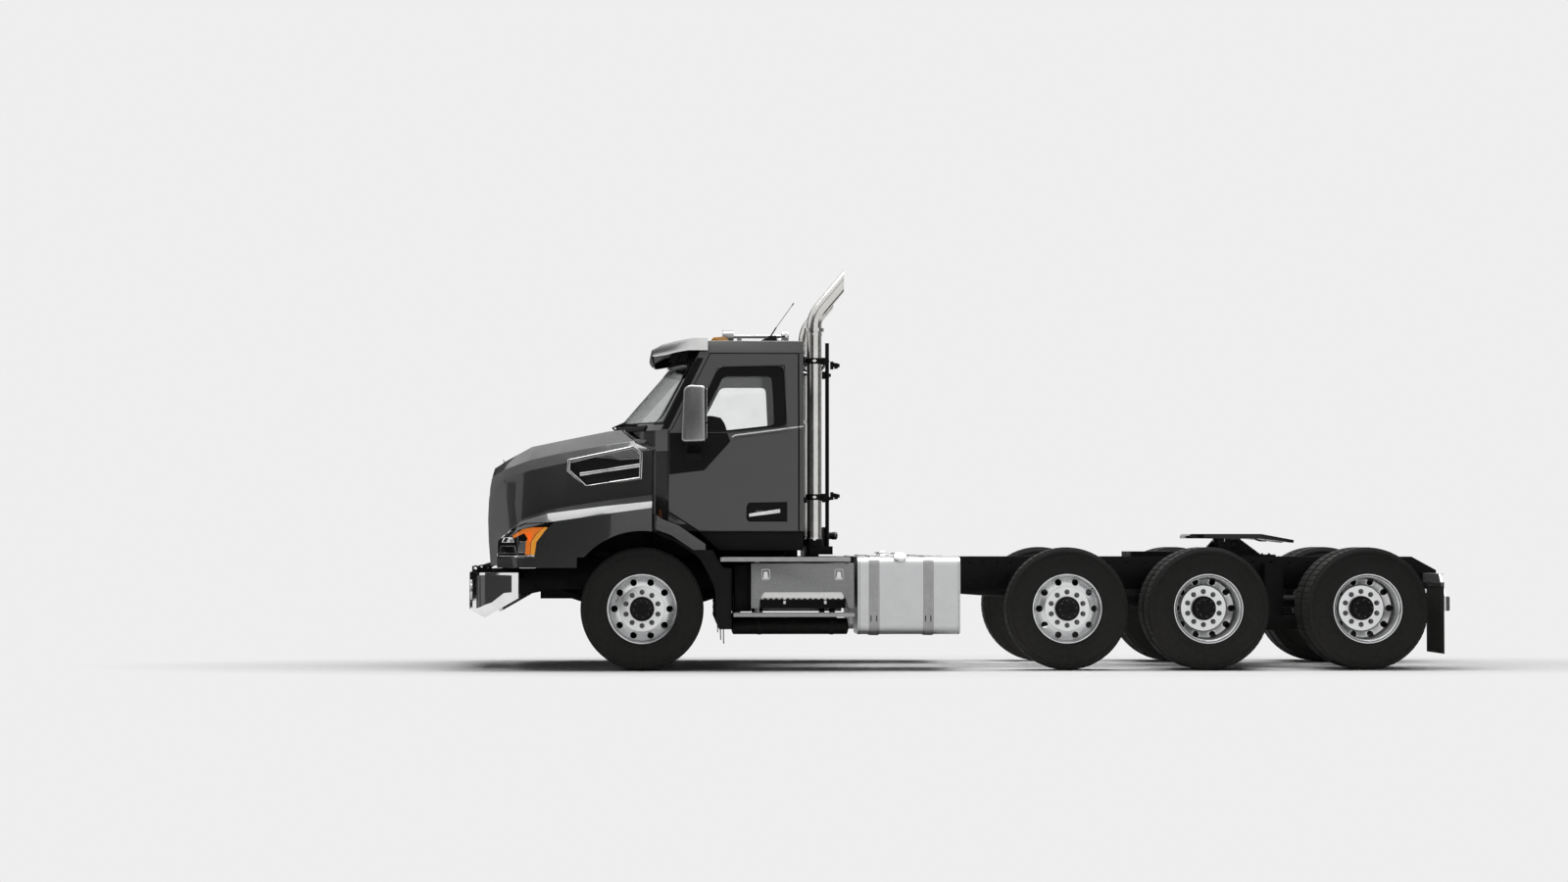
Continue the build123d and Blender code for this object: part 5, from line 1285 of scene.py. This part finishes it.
for side, sign in sides:
    rows = [at(x, sign * y, low) for x, y, low in wall_plan], [at(x, sign * y, 2056) for x, y, low in wall_plan]
    cowl_wall = closed_sheet(rows, Vector((0.004, -sign * 0.002, 0)))
    piece(f"cowl_wall_{side}", "chassis", paint, cowl_wall, sharp=14)
crown = nose_tree.ray_cast(at(-1230, 0, 3000), down)[0]
half_pull = [(0, 0.05, -0.004), (-0.006, 0.05, 0.026), (-0.012, 0.03, 0.036)]
grip_path = [Vector((dx, -dy, dz)) for dx, dy, dz in half_pull] + [Vector(spot) for spot in half_pull[::-1]]
piece("nose_pull", "hood", satin, tube([crown + spot for spot in grip_path], 6, 12))
mesh_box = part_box("grille")
mesh_x, mesh_low, mesh_high = mesh_box[0][0] + 0.055, mesh_box[0][2] + 0.03, mesh_box[1][2] - 0.03
mesh_tall, ahead = mesh_high - mesh_low, (-1, 0, 0)


def wire(start, run, parts, width=3, height=3):
    """A straight thin strip from a start along a run, that faces ahead."""
    spots = [Vector(start) + Vector(run) * k / parts for k in range(parts + 1)]
    return bead(laid(spots, ahead), width, height, sink=0)


count = int(mesh_tall / 0.016)
repeated("grille_wires", "hood", "black_trim", trim, wire((0, -0.41, 0), (0, 0.82, 0), 12), row, count=count,
         start=Vector((mesh_x, 0, mesh_low)), step=(0.00025, 0, mesh_tall / count))
repeated("grille_mesh", "hood", "black_trim", trim, wire((0, 0, 0), (0, 0, mesh_tall), 8), row, count=51,
         start=Vector((mesh_x + 0.003, -0.40, mesh_low)), step=(0, 0.016, 0))
surround = [(-436, 934), (436, 934), (426, 1478), (358, 1626), (-358, 1626), (-426, 1478)]
rim_line = []
for y, z in divided(surround, by_pitch(60)):
    hit = nose_tree.ray_cast(at(-2000, y * 1.03, z + (8 if z > 1400 else -8)), rearwards)[0]
    rim_line.append(nose_tree.find_nearest(at(-1360, y, z))[0] if hit is None else hit)
piece("grille_surround", "hood", chrome, bead(laid(rim_line, ahead), 26, 12, closed=True))

# ---- bumper fittings -----------------------------------------------------
# Black bars cross the bumper's intake and steel braces hold it to the rails. Two tow pins
# and two hooks stand on top of it. All are bolted on.
repeated("intake_bars", "chassis", "black_trim", trim, wire((0, -0.39, 0), (0, 0.78, 0), 10, 8, 10), row, count=6,
         start=at(-1482, 0, 616), step=(0, 0, 0.0228))
pin = lathe([(0, 26), (10, 25), (15, 18), (15, 8), (22, 6), (26, 0), (26, -4), (0, -4)], 24)
brace_plan = [(-1340, 640), (-1340, 790), (-1180, 830), (-1060, 830), (-1060, 760), (-1180, 700)]
for side, sign in sides:
    piece(f"tow_pin_{side}", "chassis", cast, facing(pin, "up", at(-1462, sign * 560, 836)))
    brace = slab(brace_plan, sign * 900, sign * 912)
    strut = ((-1100, 905, 790), (-1080, 660, 800), (-1060, 440, 800))
    strut = tube([at(x, sign * y, z) for x, y, z in strut], 24, 12)
    piece(f"bumper_brace_{side}", "chassis", frame_paint, joined(brace, strut), edge=0.003)
    hook = slab([(-1290, 834), (-1270, 872), (-1180, 872), (-1150, 834)], sign * 860, sign * 900)
    piece(f"bumper_step_{side}", "chassis", trim, hook, edge=0.004)

# ---- tail ----------------------------------------------------------------
# Rubber flaps with moulded ribs are clamped under bolted hangers. Each lamp cluster sits in
# a black shell, and each of its four lenses has its own bezel.
lamp_outer, lamp_inner = tab(1088, 1207, 505, 629, 12), tab(1096, 1199, 513, 621, 8)
bezel = lathe([(21, 0), (24, 0), (24, 3), (21, 3)], 28, closed=True)
lens_form = lathe([(0, 4), (12, 3), (20, 1), (20, -1), (0, -1)], 28)
for side, sign in sides:
    for k in range(5):
        rib = laid([at(6861, sign * (690 + 110 * k), z) for z in (170, 480)], (1, 0, 0))
        piece(f"flap_rib_{side}_{k}", "chassis", rubber, bead(rib, 14, 4))
    clamp = block((6843, 6849.5), (618, 1208), (716, 748), sign)
    piece(f"flap_clamp_{side}", "chassis", strap_steel, clamp, edge=0.002)
    repeated(f"hanger_bolts_{side}", "chassis", "chrome", nut_steel, facing(bolt_head, "rear", Vector()), row,
             count=6, start=at(6878, sign * 640, 782), step=(0, sign * 0.07, 0))
    shell = ring_plate(lamp_outer, lamp_inner, lambda y, z, lift: at(6879 + lift, sign * y, z), 30)
    piece(f"lamp_shell_{side}", "chassis", lamp_black, shell, edge=0.002)
    for k, (y, z) in enumerate(((1122, 594), (1172, 594), (1122, 540), (1172, 540))):
        spot = at(6912, sign * y, z)
        piece(f"lamp_ring_{side}_{k}", "chassis", satin, facing(bezel, "rear", spot))
        piece(f"lamp_lens_{side}_{k}", "chassis", amber if k == 1 else red,
              facing(lens_form, "rear", spot))

# ---- interior ------------------------------------------------------------
# Two sprung seats with foam cushions in woven cloth, sewn along two grooves, on moulded
# bases. The dashboard carries a dark cluster of three dials under a moulded hood.
cloth = finish("seat_cloth", (0.03, 0.031, 0.034), 0.85, patch=9, patchiness=0.2, dust=0.0,
               grain=(1400, 0.0004), specular=0.2)


def pad(middle, half, lean, groove, soft=0.36, around=56, across=26):
    """A crowned cushion as a closed grid: its sides pull in between the corners, and sewn grooves cross it."""
    def power(value):
        return math.copysign(abs(value) ** soft, value)

    c, s = math.cos(lean), math.sin(lean)
    rings = []
    for i in range(across + 1):
        v = -math.pi / 2 + math.pi * i / across
        ring_points = []
        for j in range(around):
            u = 2 * math.pi * j / around
            x, y, z = power(math.cos(v)) * power(math.cos(u)), power(math.cos(v)) * power(math.sin(u)), math.sin(v)
            pull_in = 1 - 0.045 * math.cos(math.pi * y / 2) ** 2 * abs(x) - 0.02 * abs(z)
            crown = 0.72 + 0.28 * (1 - x * x) * (1 - 0.6 * y * y)
            dent = sum(math.exp(-((y - g) / 0.05) ** 2) for g in groove) * 0.07 * (1 if z > 0 else 0)
            x, y, z = (x * pull_in * half[0], y * (1 - 0.03 * math.cos(math.pi * x / 2) ** 2) * half[1],
                       (power(math.sin(v)) * crown - dent) * half[2])
            ring_points.append(at(middle[0] + x * c + z * s, middle[1] + y, middle[2] - x * s + z * c))
        rings.append(ring_points)
    return lofted(rings, ends=False)


base_plan = rounded([(-170, -170), (170, -170), (170, 170), (-170, 170)], 40)
seams = (-0.45, 0.45)
for side, sign in sides:
    y = sign * 450
    base = lofted([[at(980 + dx * grow, y + dy * grow, z) for dx, dy in base_plan] for z, grow in ((1200, 1.0),
                                                                                                   (1216, 1.0),
                                                                                                   (1240, 0.7),
                                                                                                   (1500, 0.72),
                                                                                                   (1530, 1.0),
                                                                                                   (1548, 1.0))])
    seat_base = piece(f"seat_base_{side}", "chassis", inside, base, edge=0.004)
    if sign < 0:
        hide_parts("seats")
    for name, middle, half, lean, groove in (("seat_cushion", (972, y, 1616), (212, 226, 72), -0.03, seams),
                                             ("seat_back", (1206, y, 1838), (205, 214, 62), -1.36, seams),
                                             ("headrest", (1258, y, 2068), (66, 130, 44), -1.36, ())):
        foam = piece(f"{name}_{side}", "chassis", cloth, pad(middle, half, lean, groove), sharp=80)
driver_y = -450
cluster = rounded([(-210, 2010), (-190, 2096), (190, 2096), (210, 2010)], 30)
cluster = upright([(driver_y + dy, z) for dy, z in cluster], (300, 470))
piece("dash_hood", "chassis", inside, cluster, edge=0.006)
for k, (dy, r) in enumerate(((-95, 52), (95, 52), (0, 26))):
    dial = lathe([(0, 0), (r - 5, 0), (r - 2, 4), (r, 4), (r, -3), (0, -3)], 32)
    piece(f"dial_{k}", "chassis", lamp_black, facing(dial, "rear", at(471, driver_y + dy, 2052)))

# ---- cab rear ------------------------------------------------------------
# The rear window sits in a rubber seal. Round it are grab rails, two work lamps and pressed
# ribs in the cab's rear wall.
pane = [(-480, 2110), (480, 2110), (480, 2600), (-480, 2600)]
back_line = laid([at(1382, y, z) for y, z in divided(pane, lambda dy, dz: 6)], (1, 0, 0))
piece("rear_window_seal", "chassis", rubber, bead(back_line, 34, 8, closed=True))
for k in range(5):
    rib = laid([at(1381, -640 + 320 * k, z) for z in (1330, 1980)], (1, 0, 0))
    piece(f"rear_rib_{k}", "chassis", paint, bead(rib, 46, 9, bow=0.5))
rail_path = ((1381, 2130), (1430, 2140), (1436, 2180), (1436, 2520), (1430, 2560), (1381, 2570))
work_lamp = lathe([(0, 0), (30, 0), (52, 20), (56, 48), (50, 52), (48, 46), (0, 44)], 32)
for side, sign in sides:
    rail = tube([at(x, sign * 640, z) for x, z in rail_path], 12, 12)
    piece(f"rear_grab_{side}", "chassis", satin, rail)
    piece(f"work_lamp_{side}", "chassis", lamp_black,
          facing(work_lamp, "rear", at(1384, sign * 560, 2680)))

# ---- hand over -----------------------------------------------------------
low, high = cad_box
